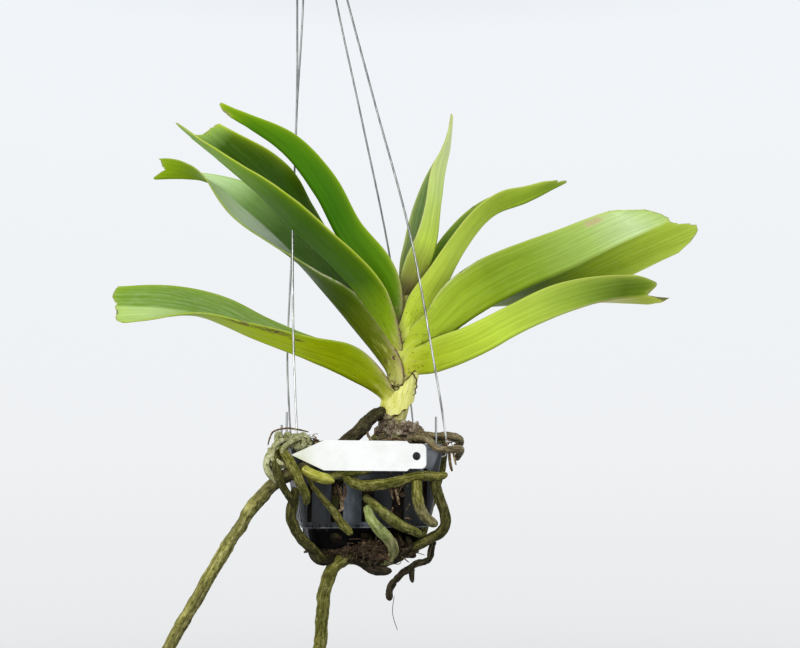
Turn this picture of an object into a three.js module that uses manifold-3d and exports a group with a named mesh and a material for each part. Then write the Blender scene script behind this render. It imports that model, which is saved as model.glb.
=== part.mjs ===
// A foxtail orchid without flowers, growing in a hanging slotted plastic basket on four wires.
// Millimetres, +Z up, +X to the right and +Y away from the viewer. The plant is laid out from the
// middle of the basket's rim, and the whole is then moved so that the origin is the point inside
// the top of the hook that it hangs from.
import * as THREE from 'three';
import { mergeVertices } from 'three/addons/utils/BufferGeometryUtils.js';
import Module from 'manifold-3d';

const { lerp, smoothstep, degToRad } = THREE.MathUtils;

// Basket
const POT_CENTRE = new THREE.Vector3(-6, 0, 0);
const POT_YAW = degToRad(9);
const RIM_HALF = 45.5;
const RIM_HEIGHT = 2.6;
const WALL_TOP_HALF = 44;
const WALL_LOW_HALF = 37;
const STEP_Z = -48;
const TIER_TOP_HALF = 33.5;
const TIER_LOW_HALF = 32;
const FLOOR_Z = -59;
const WALL = 1.6;
const CORNER_RADIUS = 6;
const BAND_LOW_Z = -20;
const SLOT_WIDTH = 7;
const SLOT_PITCH = 17.5;
const SIDE_SLIT_WIDTH = 2.6;
const SIDE_SLIT_X = 33;
const WIRE_HOLE_RADIUS = 1.9;
const WIRE_HOLE_Z = -7;
const WIRE_HOLE_Y = 36;

// Hanger
const WIRE_RADIUS = 0.65;
const HOOK_WIRE_RADIUS = 1.4;
const HOOK_RADIUS = 14;
const SHANK_BOTTOM = new THREE.Vector3(-47.6, 0, 424);
const SHANK_HEIGHT = 26;
const HOOK_CENTRE_HEIGHT = 56;

// Clearance between neighbours that touch
const GAP = 0.3;

// Leaves, from the oldest and lowest pair to the youngest. Each row is a point of the keel, then how
// far the front and the back half of the blade fold up from flat there, in degrees. The sheath is the
// half width of the clasping base.
// A tip is how far along the notch, the lobe and the margin of each half reach.
const LEAVES = [
  { name: 'leaf_left_1', side: -1, sheath: 9.5, halfWidth: 20, taper: 0.25,
    frontTip: [0.98, 0.965, 0.94], backTip: [0.98, 1, 0.995],
    rows: [[7.5, -1, 23, 52, 52], [6.5, -2, 30, 55, 54], [-12, -8, 41, 70, 62], [-39, -12, 53, 35, 45],
      [-70, -11, 65, 18, 50], [-101, -8, 78, -4, 62], [-131, -4, 84, -38, 75], [-163, 0, 86, -62, 70]] },
  { name: 'leaf_right_1', side: 1, sheath: 14.2, halfWidth: 20, taper: 0.35,
    frontTip: [0.95, 0.98, 0.92], backTip: [0.95, 1, 0.96],
    rows: [[26, -1, 36, 52, 52], [27.5, -2, 43, 78, 54], [43, -6, 46, 90, 54], [68, -3, 56, 104, 44],
      [97, 3, 72, 112, 36], [127, 9, 85, 90, 30], [155, 14, 93, 84, 3], [190, 18, 97, 100, -25]] },
  { name: 'leaf_left_2', side: -1, sheath: 12, halfWidth: 20, taper: 0.36,
    frontTip: [0.965, 0.945, 0.955], backTip: [0.965, 0.95, 0.93],
    rows: [[10.5, -1, 36, 52, 52], [10, -1, 47, 55, 54], [-13, 0, 77, 50, 66], [-33, 6, 101, 14, 70],
      [-54, 14, 125, -12, 80], [-82, 22, 152, -28, 85], [-111, 30, 175, 5, 36], [-157, 37, 178, 105, 45]] },
  { name: 'leaf_right_2', side: 1, sheath: 13.4, halfWidth: 29, taper: 0.22,
    frontTip: [0.955, 0.94, 0.86], backTip: [0.955, 1, 0.955],
    rows: [[27.5, 0, 44, 52, 52], [28.5, -1, 54, 62, 54], [43, 3, 65, 43, 44], [68, 8, 83, 68, 24],
      [98, 16, 100, 92, -8], [132, 24, 116, 98, -44], [168, 31, 134.5, 104, -62],
      [214, 38, 155.5, 128, -72]] },
  { name: 'leaf_left_3', side: -1, sheath: 9, halfWidth: 29, taper: 0.5,
    frontTip: [0.95, 1, 0.93], backTip: [0.95, 0.93, 0.915],
    rows: [[12, -1, 50, 52, 52], [12, -2, 60, 26, 54], [-3, -14, 87, 17, 40], [-23, -30, 108, 16, 32],
      [-45, -42, 127, 17, 50], [-64, -51, 145, 11, 76], [-85, -59, 162, 2, 100],
      [-109, -64, 181, -2, 80]] },
  { name: 'leaf_right_3', side: 1, sheath: 15.5, halfWidth: 18, taper: 0.62,
    frontTip: [1, 0.965, 0.92], backTip: [1, 0.96, 0.92],
    rows: [[28.5, -2, 56, 52, 52], [29.5, -4, 67, 67, 54], [36, 1, 80, 78, 66], [47, 9, 101, 55, 72],
      [60, 14, 126, 36, 62], [78, 18, 148, 34, 58], [102, 22, 159, 62, 78], [128.5, 26, 173.5, 30, 40]] },
  { name: 'leaf_left_4', side: -1, sheath: 8, halfWidth: 17.5, taper: 0.72,
    frontTip: [0.93, 0.98, 0.985], backTip: [0.93, 0.97, 0.97],
    rows: [[11.5, -1, 64, 52, 52], [11.5, -2, 74, 36, 54], [3, -14, 97, 66, 58], [-16.5, -28, 121, 98, 54],
      [-31, -39, 147, 104, 50], [-48.5, -47, 169, 106, 48], [-69, -54, 183, 108, 44],
      [-90, -60, 194, 110, 40]] },
  { name: 'leaf_right_4', side: 1, sheath: 11, halfWidth: 19.5, taper: 0.88, up: [-1, 0, 0.1],
    frontTip: [0.99, 1, 0.95], backTip: [0.99, 0.995, 0.95],
    rows: [[29, 3, 72, 60, 52], [29.5, 2.5, 83, 84, 55], [34, 2.5, 103, 56, 68], [40, 2, 125, 37, 80],
      [43, 3, 148, 26, 60], [46, 4, 171, 27, 46], [50, 5, 191, 22, 36], [52, 6, 212, 18, 15]] },
];
const BASE_CUP = 40;
const BLADE_CUP = 7;
const CLASP_END = 0.08;
const BLADE_START = 0.35;
const LOBE_START = 0.86;
const KEEL_THICKNESS = 2.6;
const MARGIN_THICKNESS = 1.1;
const TIP_THICKNESS = 0.7;
const LEAF_STATIONS = [0, 0.06, 0.11, 0.15, 0.2, 0.27, 0.35, 0.43, 0.51, 0.59, 0.67, 0.75, 0.82, 0.88,
  0.94, 1];
const LEAF_ACROSS = [-1, -0.66, -0.33, 0, 0.33, 0.66, 1];

// Stem
const STEM_AXIS = [[15.5, 0, 15], [18, 0, 25], [20, 0, 38], [21.2, 0, 52], [22.2, 0, 70], [23, 0, 92]];
const STEM_RADIUS = 6.2;
const SHEATH_TOP_LEFT = 29;
const SHEATH_TOP_RIGHT = 44;
const SHEATH_LOW = 18;
const SHEATH_THICKNESS = 1.1;
const ROOTSTOCK_AXIS = [[9, -2, -14], [10.5, -2, -2], [12.5, -1, 8], [15, 0, 14.6]];
const ROOTSTOCK_RADIUS = 7.4;
const ROOTSTOCK_LUMPS = [
  { at: [19, -8, 9], radius: 6 }, { at: [26, -9, 8], radius: 6.4 }, { at: [31, -12, 4], radius: 5 },
  { at: [16, -6, 1], radius: 7 }, { at: [9, -7, 8], radius: 5 }, { at: [25, -6, 1], radius: 6 },
  { at: [11, -6, 16], radius: 3.6 },
];

// Aerial roots: points along the middle, and the radius, which the girths scale at even steps from
// start to end. A root that starts in the basket or on the stem tapers to a round tip at its last point.
const ROOTS = [
  { name: 'root_long_left', radius: 4.1, points: [[8, -1, 20], [2, -18, 16], [-4, -38, 8.5],
    [-15, -53.7, -1.5], [-31, -60, -12], [-47, -60, -19.5], [-60, -57, -31], [-74, -55, -52],
    [-93, -53, -84], [-106, -51, -107], [-116, -49, -128], [-124, -46, -152]] },
  { name: 'root_front_rail', radius: 3.1, girths: [0.85, 1.05, 1.1, 0.95, 1, 0.9],
    points: [[-12, -56, -17.5], [-8.5, -57, -21], [-2, -56, -23], [6.5, -55, -22.6], [14, -53, -21.2],
      [23, -50.5, -19], [33, -48, -18], [40, -45, -18], [45.5, -42, -17.6]] },
  { name: 'root_yellow_stub', radius: 3.0, girths: [0.85, 1.05, 1.05, 0.8],
    points: [[-34, -66.5, -14], [-29.5, -68, -16.4], [-23.5, -67, -18.9], [-17, -63.5, -21]] },
  { name: 'root_front_upper', radius: 2.5, girths: [0.8, 1, 1.1, 0.9],
    points: [[-29.5, -57.8, -16.9], [-21, -58.8, -18.5], [-12, -57.5, -15.6], [-4, -54.5, -15.2],
      [4, -52, -14.6]] },
  { name: 'root_left_olive', radius: 3.0, girths: [0.8, 1, 1.1, 1, 0.85],
    points: [[-47, -57, -2.5], [-43.5, -62, -8], [-38.5, -67.5, -14], [-35.5, -69.5, -20.5],
      [-33, -66, -27.5], [-33, -60, -33]] },
  { name: 'root_left_bundle', radius: 2.6, girths: [0.8, 1.1, 1, 1, 0.8],
    points: [[-51, -56.5, -4], [-49.5, -62.5, -10.5], [-48, -67, -18], [-44, -66.5, -25],
      [-41, -63, -30], [-39.5, -59.5, -34.5]] },
  { name: 'root_left_drop', radius: 3.2, girths: [0.8, 1, 1.05, 1, 1.1, 1],
    points: [[-39, -54, -24.5], [-41, -54, -31], [-42, -54, -39], [-40, -52.5, -46], [-36, -49, -53],
      [-30, -43, -59.5], [-26, -36, -64.5], [-20, -30, -65]] },
  { name: 'root_front_left_drop', radius: 2.6, girths: [0.5, 0.55, 0.8, 1.05, 1.05],
    points: [[-30.8, -66.6, -19.2], [-29, -63, -23.6], [-23, -57.5, -31], [-17.5, -55, -38],
      [-13.5, -53.5, -44], [-8, -50.5, -50]] },
  { name: 'root_front_mid_drop', radius: 3.1, girths: [0.8, 1.05, 1.05, 0.95],
    points: [[-1, -43, -30], [6, -48.5, -35.5], [13, -48, -41], [20, -44.5, -46], [26, -40, -49],
      [31, -35.5, -51.5]] },
  { name: 'root_front_mid_curl', radius: 3.3, girths: [0.95, 1, 1.05, 1.1, 0.95],
    points: [[0.5, -46.5, -36], [2.5, -51, -42], [7.5, -50, -48], [13, -45, -54], [14.5, -40, -59],
      [11.5, -34, -65], [3.5, -29.5, -67]] },
  { name: 'root_right_drop_inner', radius: 3.4, girths: [0.9, 1, 1.05, 1],
    points: [[28, -49.5, -24.8], [28.5, -48.5, -31], [30, -46.5, -37], [34, -43, -42], [39.5, -38, -45.5]] },
  { name: 'root_right_drop_outer', radius: 3.3, girths: [0.85, 1, 1.05, 1, 0.9],
    points: [[39, -44.5, -24.8], [41, -43, -30.5], [43.5, -41, -37.5], [44, -39, -45], [40.5, -37, -51],
      [32.5, -34.5, -55], [24, -31, -60.5], [15.5, -26.5, -65.5]] },
  { name: 'root_under_dark', radius: 3.0, girths: [0.9, 1.2, 0.95, 1.15, 1], points: [[-17, -21, -62.8],
    [-11, -27, -64.5], [-5.5, -31, -66.5], [-0.5, -33, -69], [7, -34, -71], [14, -34.5, -71.5]] },
  { name: 'root_hanging', radius: 4.0, girths: [0.95, 1, 1, 1.05, 1, 1], points: [[-8.5, -30, -64],
    [-14, -32, -65.5], [-18.5, -33, -69], [-22, -33, -75], [-25, -32, -86], [-26.2, -30, -99],
    [-27.5, -28, -115], [-30.5, -26, -132], [-32, -24, -150]] },
  { name: 'root_under_mid', radius: 3.0, girths: [1, 1.1, 0.9, 1.1], points: [[-20, -27, -63.5],
    [-10, -24, -66], [4, -22, -69], [14, -19, -67.5], [22, -14, -64]] },
  { name: 'root_dry_tip', radius: 2.5, girths: [0.6, 0.75, 0.95, 1.1, 0.95, 0.95, 1.2],
    points: [[38, -32, -55.5], [36.5, -34, -60], [34, -34, -65], [27.5, -34, -69.5], [20, -34, -72.5],
      [16, -34, -77.5], [12.4, -33, -84], [11.5, -32, -89.5]],
    stub: [[25.4, -34, -70.6], [25.2, -34.6, -74], [26, -35, -78.4]] },
  { name: 'root_top_right', radius: 3.0, girths: [1.1, 1, 0.9, 1.05, 0.9], points: [[24, -7, 7],
    [31, -16, 5.5], [40, -22, 4.6], [49, -21, 4.4], [54, -16, 2.5], [54.5, -9, -2]] },
  { name: 'root_rim_right', radius: 2.4, girths: [1, 1.1, 0.9, 1.1, 1], points: [[24, -18, 2.5],
    [30, -29, 3.6], [35, -38, 2.6], [39, -43, -2], [46, -42, -3], [52, -36, -3], [54, -26, -4.5],
    [52, -17, -9]] },
  { name: 'root_back_rail', radius: 3.0, girths: [0.9, 1.1, 1, 1.05], points: [[32, 48, -10],
    [10, 50, -16], [-14, 47.5, -19], [-38, 43, -18], [-56, 34, -14]] },
  { name: 'root_back_drop', radius: 3.2, girths: [1, 1, 0.95, 1.1, 1], points: [[14, 8, 4], [10, 26, 5],
    [4, 42, 5], [0, 52, 2], [-2, 56, -10], [-4, 54.5, -26], [-6, 46, -44], [-9, 38, -60], [-14, 34, -72]] },
  { name: 'root_right_side', radius: 2.9, girths: [1, 1.1, 0.95, 1.05], points: [[40, 14, 1],
    [44, 20, 3.5], [46, 26, -2], [45, 29, -14], [41, 28, -28], [36, 22, -44], [30, 12, -60], [23, 4, -66]] },
];
const ROOT_END_GIRTH = 0.85;
const STUB_RADIUS = 1.7;
const ROOT_SIDES = 8;

// Pale knobby root ends over the left corner of the rim
const KNOBS_LEFT = -57;
const KNOBS_RIGHT = -33;
const KNOB_COUNT = 13;

// Potting medium
const FILL_TOP_Z = -5;
const FILL_CORNER = 11;
const BARK_CHIPS = [
  { name: 'bark_chip_1', at: [-30, -8, -1.5], size: [11, 8, 4], turn: 0.4 },
  { name: 'bark_chip_2', at: [-16, 22, -1], size: [12, 8, 4.5], turn: 1.3 },
  { name: 'bark_chip_3', at: [22, 26, -1.5], size: [10, 7, 4], turn: -0.5 },
  { name: 'bark_chip_4', at: [-8, -32, -2], size: [9, 6, 3.6], turn: 0.1 },
];

const FIBRE_CENTRE = [6, -36, -60];
const FIBRE_LUMPS = [{ at: [-1, -35, -58.5], radius: 5 }, { at: [13, -35, -58.5], radius: 5.4 }];

// Name tag
const TAG_LENGTH = 75;
const TAG_WIDTH = 16.6;
const TAG_TAB_WIDTH = 13.8;
const TAG_TAB_LENGTH = 11;
const TAG_POINT_LENGTH = 18;
const TAG_THICKNESS = 0.8;
const TAG_HOLE_RADIUS = 2.3;
const TAG_CORNER = 3;
const TAG_SHOULDER = 1.5;
const TAG_LEAN = degToRad(-4);
const TAG_TILT = degToRad(0.6);
const TAG_POINT = new THREE.Vector3(-41, -66, -6.2);

const COLOURS = {
  leafLeft: 0x4f8f1a, leafRight: 0x86b03c, stem: 0xb9c45e, sheath: 0xe3e0a0, wood: 0x4d4434,
  root: 0x6f7a3a, dryRoot: 0x3b3528, knobs: 0xb9bf8c, basket: 0x2f3841, mix: 0x2c241c, bark: 0x3f3328,
  tag: 0xf2f2ee, steel: 0x9a9c9d,
};

const wasm = await Module();
wasm.setup();

const vec = (p) => new THREE.Vector3(p[0], p[1], p[2]);

// A point given in the basket's own turned axes, in the common axes.
function potPoint(x, y, z) {
  return new THREE.Vector3(x, y, z).applyAxisAngle(new THREE.Vector3(0, 0, 1), POT_YAW).add(POT_CENTRE);
}

// Repeatable uneven numbers, so that every build is alike.
function random(seed) {
  let state = seed;
  return () => {
    state = (state * 16807) % 2147483647;
    return state / 2147483647;
  };
}

function toSolid(geometry) {
  const bare = geometry.clone();
  bare.deleteAttribute('normal');
  bare.deleteAttribute('uv');
  const merged = mergeVertices(bare, 1e-4);
  return new wasm.Manifold(new wasm.Mesh({
    numProp: 3,
    vertProperties: new Float32Array(merged.attributes.position.array),
    triVerts: new Uint32Array(merged.index.array),
  }));
}

function toGeometry(solid) {
  const mesh = solid.getMesh();
  const geometry = new THREE.BufferGeometry();
  geometry.setAttribute('position', new THREE.BufferAttribute(mesh.vertProperties, 3));
  geometry.setIndex(new THREE.BufferAttribute(mesh.triVerts, 1));
  geometry.computeVertexNormals();
  return geometry;
}

// The largest connected body of a solid, without the crumbs that a cut leaves.
function largest(solid) {
  const bodies = solid.decompose();
  return bodies.reduce((best, body) => (body.volume() > best.volume() ? body : best));
}

// A closed skin over a row of rings that all have the same number of points, in the same order.
function skin(rings, capStrips = false) {
  const count = rings[0].length;
  const positions = rings.flat().flatMap((p) => [p.x, p.y, p.z]);
  const index = [];
  for (let r = 0; r + 1 < rings.length; r += 1) {
    for (let i = 0; i < count; i += 1) {
      const a = r * count + i;
      const b = r * count + (i + 1) % count;
      index.push(a, b, b + count, a, b + count, a + count);
    }
  }
  const end = (rings.length - 1) * count;
  if (capStrips) {
    const half = count / 2;
    for (let i = 0; i + 1 < half; i += 1) {
      const j = count - 1 - i;
      index.push(i, j, j - 1, i, j - 1, i + 1);
      index.push(end + i, end + j - 1, end + j, end + i, end + i + 1, end + j - 1);
    }
  } else {
    for (const [ring, base, flip] of [[rings[0], 0, true], [rings.at(-1), end, false]]) {
      const centre = ring.reduce((sum, p) => sum.add(p), new THREE.Vector3()).divideScalar(count);
      const hub = positions.length / 3;
      positions.push(centre.x, centre.y, centre.z);
      for (let i = 0; i < count; i += 1) {
        const a = base + i;
        const b = base + (i + 1) % count;
        index.push(...(flip ? [b, a, hub] : [a, b, hub]));
      }
    }
  }
  const geometry = new THREE.BufferGeometry();
  geometry.setAttribute('position', new THREE.Float32BufferAttribute(positions, 3));
  geometry.setIndex(index);
  return geometry;
}

// Turns a skin the right way out, whichever way its rings ran.
function outward(geometry) {
  const p = geometry.attributes.position;
  const index = geometry.index.array;
  let volume = 0;
  for (let i = 0; i < index.length; i += 3) {
    const [a, b, c] = [0, 1, 2].map((k) => new THREE.Vector3().fromBufferAttribute(p, index[i + k]));
    volume += a.dot(b.cross(c));
  }
  if (volume < 0) {
    for (let i = 0; i < index.length; i += 3) [index[i], index[i + 1]] = [index[i + 1], index[i]];
  }
  return geometry;
}

// A round tube along a smooth curve, whose radius is a function of the way along it.
function tube(points, radiusAt, sides, steps, wobble = 0) {
  const curve = new THREE.CatmullRomCurve3(points, false, 'catmullrom', 0.5);
  const frames = curve.computeFrenetFrames(steps, false);
  const rings = [];
  for (let i = 0; i <= steps; i += 1) {
    const at = i / steps;
    const centre = curve.getPointAt(at);
    const ring = [];
    for (let k = 0; k < sides; k += 1) {
      const angle = (k / sides) * Math.PI * 2;
      const radius = radiusAt(at) * (1 + wobble * Math.sin(3 * angle + 9 * at) * Math.cos(17 * at + 2 * angle));
      ring.push(centre.clone()
        .addScaledVector(frames.normals[i], radius * Math.cos(angle))
        .addScaledVector(frames.binormals[i], radius * Math.sin(angle)));
    }
    rings.push(ring);
  }
  return outward(skin(rings));
}

// Leaf blade
function leafFrame(leaf, s) {
  const step = 0.002;
  const keel = leaf.keelCurve;
  const tangent = keel.getPoint(Math.min(s + step, 1)).sub(keel.getPoint(Math.max(s - step, 0))).normalize();
  const up = leaf.up ? vec(leaf.up) : new THREE.Vector3(-0.5 * leaf.side, 0, 0.87);
  const normal = up.addScaledVector(tangent, -up.dot(tangent)).normalize();
  const toFront = tangent.clone().cross(normal).multiplyScalar(leaf.side);
  const fold = leaf.foldCurve.getPoint(s);
  return { point: keel.getPoint(s), normal, toFront, front: fold.x, back: fold.y };
}

function leafHalfWidth(leaf, s) {
  const open = lerp(leaf.sheath, leaf.halfWidth, smoothstep(s, 0.06, 0.36));
  return open * (1 - leaf.taper * smoothstep(s, 0.55, 1) ** 1.3);
}

// A point of the blade's middle surface, s along it and t across it from -1 (front) to 1 (back).
function leafPoint(leaf, s, t, grow = 0) {
  const a = Math.abs(t);
  const [notch, lobe, margin] = t < 0 ? leaf.frontTip : leaf.backTip;
  const reach = a < 0.5 ? lerp(notch, lobe, smoothstep(a, 0, 0.5))
    : lerp(lobe, margin, ((a - 0.5) / 0.5) ** 2);
  const along = s + (reach - 1) * THREE.MathUtils.clamp((s - LOBE_START) / (1 - LOBE_START), 0, 1);
  const { point, normal, toFront, front, back } = leafFrame(leaf, along);
  const cup = lerp(BASE_CUP, BLADE_CUP, smoothstep(along, CLASP_END, BLADE_START));
  const fold = t < 0 ? front : back;
  const start = degToRad(fold - cup);
  const bend = degToRad(2 * cup);
  const turned = start + bend * a;
  const width = leafHalfWidth(leaf, along) + grow;
  const out = (width * (Math.sin(turned) - Math.sin(start))) / bend;
  const rise = (width * (Math.cos(start) - Math.cos(turned))) / bend;
  return point.clone().addScaledVector(normal, rise).addScaledVector(toFront, t < 0 ? out : -out);
}

function leafSolid(leaf, grow = 0) {
  const rings = LEAF_STATIONS.map((s) => {
    const upper = [];
    const lower = [];
    for (const t of LEAF_ACROSS) {
      const step = 0.02;
      const along = leafPoint(leaf, Math.min(s + step, 1), t)
        .sub(leafPoint(leaf, Math.max(s - step, 0), t));
      const beyondEnd = grow * (Number(s === 1) - Number(s === 0));
      const centre = leafPoint(leaf, s, t, grow).addScaledVector(along.clone().normalize(), beyondEnd);
      const across = leafPoint(leaf, s, Math.min(t + step, 1))
        .sub(leafPoint(leaf, s, Math.max(t - step, -1)));
      const normal = along.cross(across).normalize().multiplyScalar(-leaf.side);
      const middle = lerp(KEEL_THICKNESS, MARGIN_THICKNESS, Math.abs(t) ** 0.7);
      const thickness = lerp(middle, TIP_THICKNESS + 0.2 * middle, smoothstep(s, 0.1, 1)) + 2 * grow;
      upper.push(centre.clone().addScaledVector(normal, thickness / 2));
      lower.unshift(centre.clone().addScaledVector(normal, -thickness / 2));
    }
    return [...upper, ...lower];
  });
  return toSolid(outward(skin(rings, true)));
}

// Root
function rootSolid(root, grow = 0) {
  const points = root.points.map(vec);
  const length = new THREE.CatmullRomCurve3(points, false, 'catmullrom', 0.5).getLength();
  const steps = Math.round(THREE.MathUtils.clamp(length / (2.4 * root.radius), 7, 22));
  const tipStart = 1 - (2.2 * root.radius) / length;
  const girths = root.girths || [1, 1];
  const radiusAt = (at) => {
    const place = at * (girths.length - 1);
    const before = Math.min(Math.floor(place), girths.length - 2);
    const girth = lerp(girths[before], girths[before + 1], place - before) * lerp(1, ROOT_END_GIRTH, at);
    const tip = at > tipStart ? Math.sqrt(Math.max(0.16, 1 - ((at - tipStart) / (1 - tipStart)) ** 2)) : 1;
    return root.radius * girth * tip + grow;
  };
  const solid = toSolid(tube(points, radiusAt, ROOT_SIDES, steps, 0.07));
  if (!root.stub) return solid;
  const stubRadius = (at) => STUB_RADIUS * (at > 0.8 ? 0.7 : 1) + grow;
  return solid.add(toSolid(tube(root.stub.map(vec), stubRadius, ROOT_SIDES, 5)));
}

// Basket
function roundedSquare(half, z, radius = CORNER_RADIUS) {
  const ring = [];
  for (let corner = 0; corner < 4; corner += 1) {
    for (let k = 0; k <= 3; k += 1) {
      const angle = (corner + k / 3) * (Math.PI / 2);
      const [sx, sy] = [[1, 1], [-1, 1], [-1, -1], [1, -1]][corner];
      const inner = half - radius;
      ring.push(potPoint(sx * inner + radius * Math.cos(angle), sy * inner + radius * Math.sin(angle), z));
    }
  }
  return ring;
}

function profileSolid(profile, radius) {
  return toSolid(outward(skin(profile.map(([half, z]) => roundedSquare(half, z, radius)))));
}

function potBox(x, y, z, width, depth, height) {
  const box = new THREE.BoxGeometry(width, depth, height);
  box.translate(x, y, z);
  box.rotateZ(POT_YAW);
  box.translate(POT_CENTRE.x, POT_CENTRE.y, POT_CENTRE.z);
  return toSolid(box);
}

function basketSolid() {
  let basket = profileSolid([[TIER_LOW_HALF, FLOOR_Z], [TIER_TOP_HALF, STEP_Z + 0.4],
    [WALL_LOW_HALF, STEP_Z + 0.6],
    [WALL_TOP_HALF, -RIM_HEIGHT - 0.4], [RIM_HALF, -RIM_HEIGHT], [RIM_HALF, 0]]);
  basket = basket.subtract(profileSolid([[TIER_LOW_HALF - WALL, FLOOR_Z + WALL],
    [TIER_TOP_HALF - WALL, STEP_Z + 0.6 + WALL], [WALL_LOW_HALF - WALL, STEP_Z + 0.8 + WALL],
    [WALL_TOP_HALF - WALL, 1]], CORNER_RADIUS - WALL));
  const slotLow = STEP_Z + 4;
  const slotHeight = BAND_LOW_Z - slotLow;
  const slitHeight = slotHeight + 6;
  for (const side of [-1, 1]) {
    for (const n of [-1, 0, 1]) {
      const middleZ = slotLow + slotHeight / 2;
      basket = basket.subtract(potBox(n * SLOT_PITCH, side * 41, middleZ, SLOT_WIDTH, 12, slotHeight));
      basket = basket.subtract(potBox(side * 41, n * SLOT_PITCH, middleZ, 12, SLOT_WIDTH, slotHeight));
      const tierZ = (STEP_Z + FLOOR_Z) / 2;
      basket = basket.subtract(potBox(n * SLOT_PITCH, side * 33, tierZ, SLOT_WIDTH, 6, 6));
      basket = basket.subtract(potBox(side * 33, n * SLOT_PITCH, tierZ, 6, SLOT_WIDTH, 6));
    }
    for (const x of [-SIDE_SLIT_X, SIDE_SLIT_X]) {
      const slitZ = slotLow + slitHeight / 2;
      basket = basket.subtract(potBox(x, side * 41, slitZ, SIDE_SLIT_WIDTH, 12, slitHeight));
      basket = basket.subtract(potBox(side * 41, x, slitZ, 12, SIDE_SLIT_WIDTH, slitHeight));
      const hole = new THREE.CylinderGeometry(WIRE_HOLE_RADIUS, WIRE_HOLE_RADIUS, 12, 8);
      hole.rotateZ(Math.PI / 2);
      hole.translate(Math.sign(x) * (WALL_TOP_HALF - 1), side * WIRE_HOLE_Y, WIRE_HOLE_Z);
      hole.rotateZ(POT_YAW);
      hole.translate(POT_CENTRE.x, POT_CENTRE.y, POT_CENTRE.z);
      basket = basket.subtract(toSolid(hole));
    }
  }
  for (const n of [-1, 0, 1]) {
    basket = basket.subtract(potBox(n * SLOT_PITCH, 0, FLOOR_Z, SLOT_WIDTH, 44, 6));
  }
  return largest(basket);
}

// The wet medium that fills the basket: a block with cut corners and a lumpy top.
function fillSolid() {
  const clear = WALL + 2 * GAP;
  const ring = (half, z, corner, lumps) => {
    const points = [];
    const inner = half - corner;
    for (const [sx, sy] of [[1, 1], [-1, 1], [-1, -1], [1, -1]]) {
      const ends = sx === sy ? [[half, inner], [inner, half]] : [[inner, half], [half, inner]];
      for (const [x, y] of ends) {
        const rise = lumps * Math.sin(x * sx * 0.31 + 2) * Math.cos(y * sy * 0.27);
        points.push(potPoint(sx * x, sy * y, z + rise));
      }
    }
    return points;
  };
  const topHalf = lerp(WALL_TOP_HALF, WALL_LOW_HALF, FILL_TOP_Z / STEP_Z) - clear;
  return toSolid(outward(skin([
    ring(TIER_LOW_HALF - clear, FLOOR_Z + clear, CORNER_RADIUS, 0),
    ring(TIER_TOP_HALF - clear, STEP_Z + 2 + WALL, CORNER_RADIUS, 0),
    ring(WALL_LOW_HALF - clear, STEP_Z + 3 + WALL, CORNER_RADIUS, 0),
    ring(topHalf, FILL_TOP_Z, FILL_CORNER, 0.6),
    ring(topHalf - 10, FILL_TOP_Z + 3.4, FILL_CORNER - 3, 1.2),
    ring(topHalf - 24, FILL_TOP_Z + 4.4, 4, 1.4),
  ])));
}

// Wire hanger
const UP = new THREE.Vector3(0, 0, 1);

function hookSolid() {
  const points = [new THREE.Vector3(0, 0, 0), new THREE.Vector3(0, 0, SHANK_HEIGHT * 0.5),
    new THREE.Vector3(0, 0, SHANK_HEIGHT)];
  for (let degrees = -45; degrees <= 215; degrees += 20) {
    const angle = degToRad(degrees);
    const height = HOOK_CENTRE_HEIGHT + HOOK_RADIUS * Math.sin(angle);
    points.push(new THREE.Vector3(HOOK_RADIUS * Math.cos(angle), 0, height));
  }
  return tube(points.map((p) => p.add(SHANK_BOTTOM)), () => HOOK_WIRE_RADIUS, 8, 30);
}

function wrapSolid() {
  const points = [];
  const turns = 5;
  const radius = HOOK_WIRE_RADIUS + WIRE_RADIUS + GAP;
  for (let i = 0; i <= turns * 8; i += 1) {
    const angle = (i / 8) * Math.PI * 2;
    const height = 3 + (i / 8) * 2.6;
    const point = new THREE.Vector3(radius * Math.cos(angle), radius * Math.sin(angle), height);
    points.push(point.add(SHANK_BOTTOM));
  }
  return tube(points, () => WIRE_RADIUS, 5, turns * 8);
}

// Corner of the basket, whether the long part runs down outside the wall, how far the wire bows to
// the back, the length of its short end, and how far it bows to the right at shares of its length.
const WIRE_BOWS_AT = [0.12, 0.3, 0.5, 0.7, 0.88];
const WIRES = [
  { name: 'wire_front_left', sx: -1, sy: -1, outside: false, inward: 3, end: 18,
    bows: [-2.2, -3.2, -1.1, -1.1, -0.5] },
  { name: 'wire_front_right', sx: 1, sy: -1, outside: true, inward: -1, end: 16,
    bows: [3.5, 6.4, 3, 0, -0.5] },
  { name: 'wire_back_left', sx: -1, sy: 1, outside: false, inward: 0, end: 13,
    bows: [-2.9, -1, 0.8, 4.2, 2] },
  { name: 'wire_back_right', sx: 1, sy: 1, outside: false, inward: 0, end: 7,
    bows: [2.9, 5, 2.5, -0.6, 0] },
];

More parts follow.
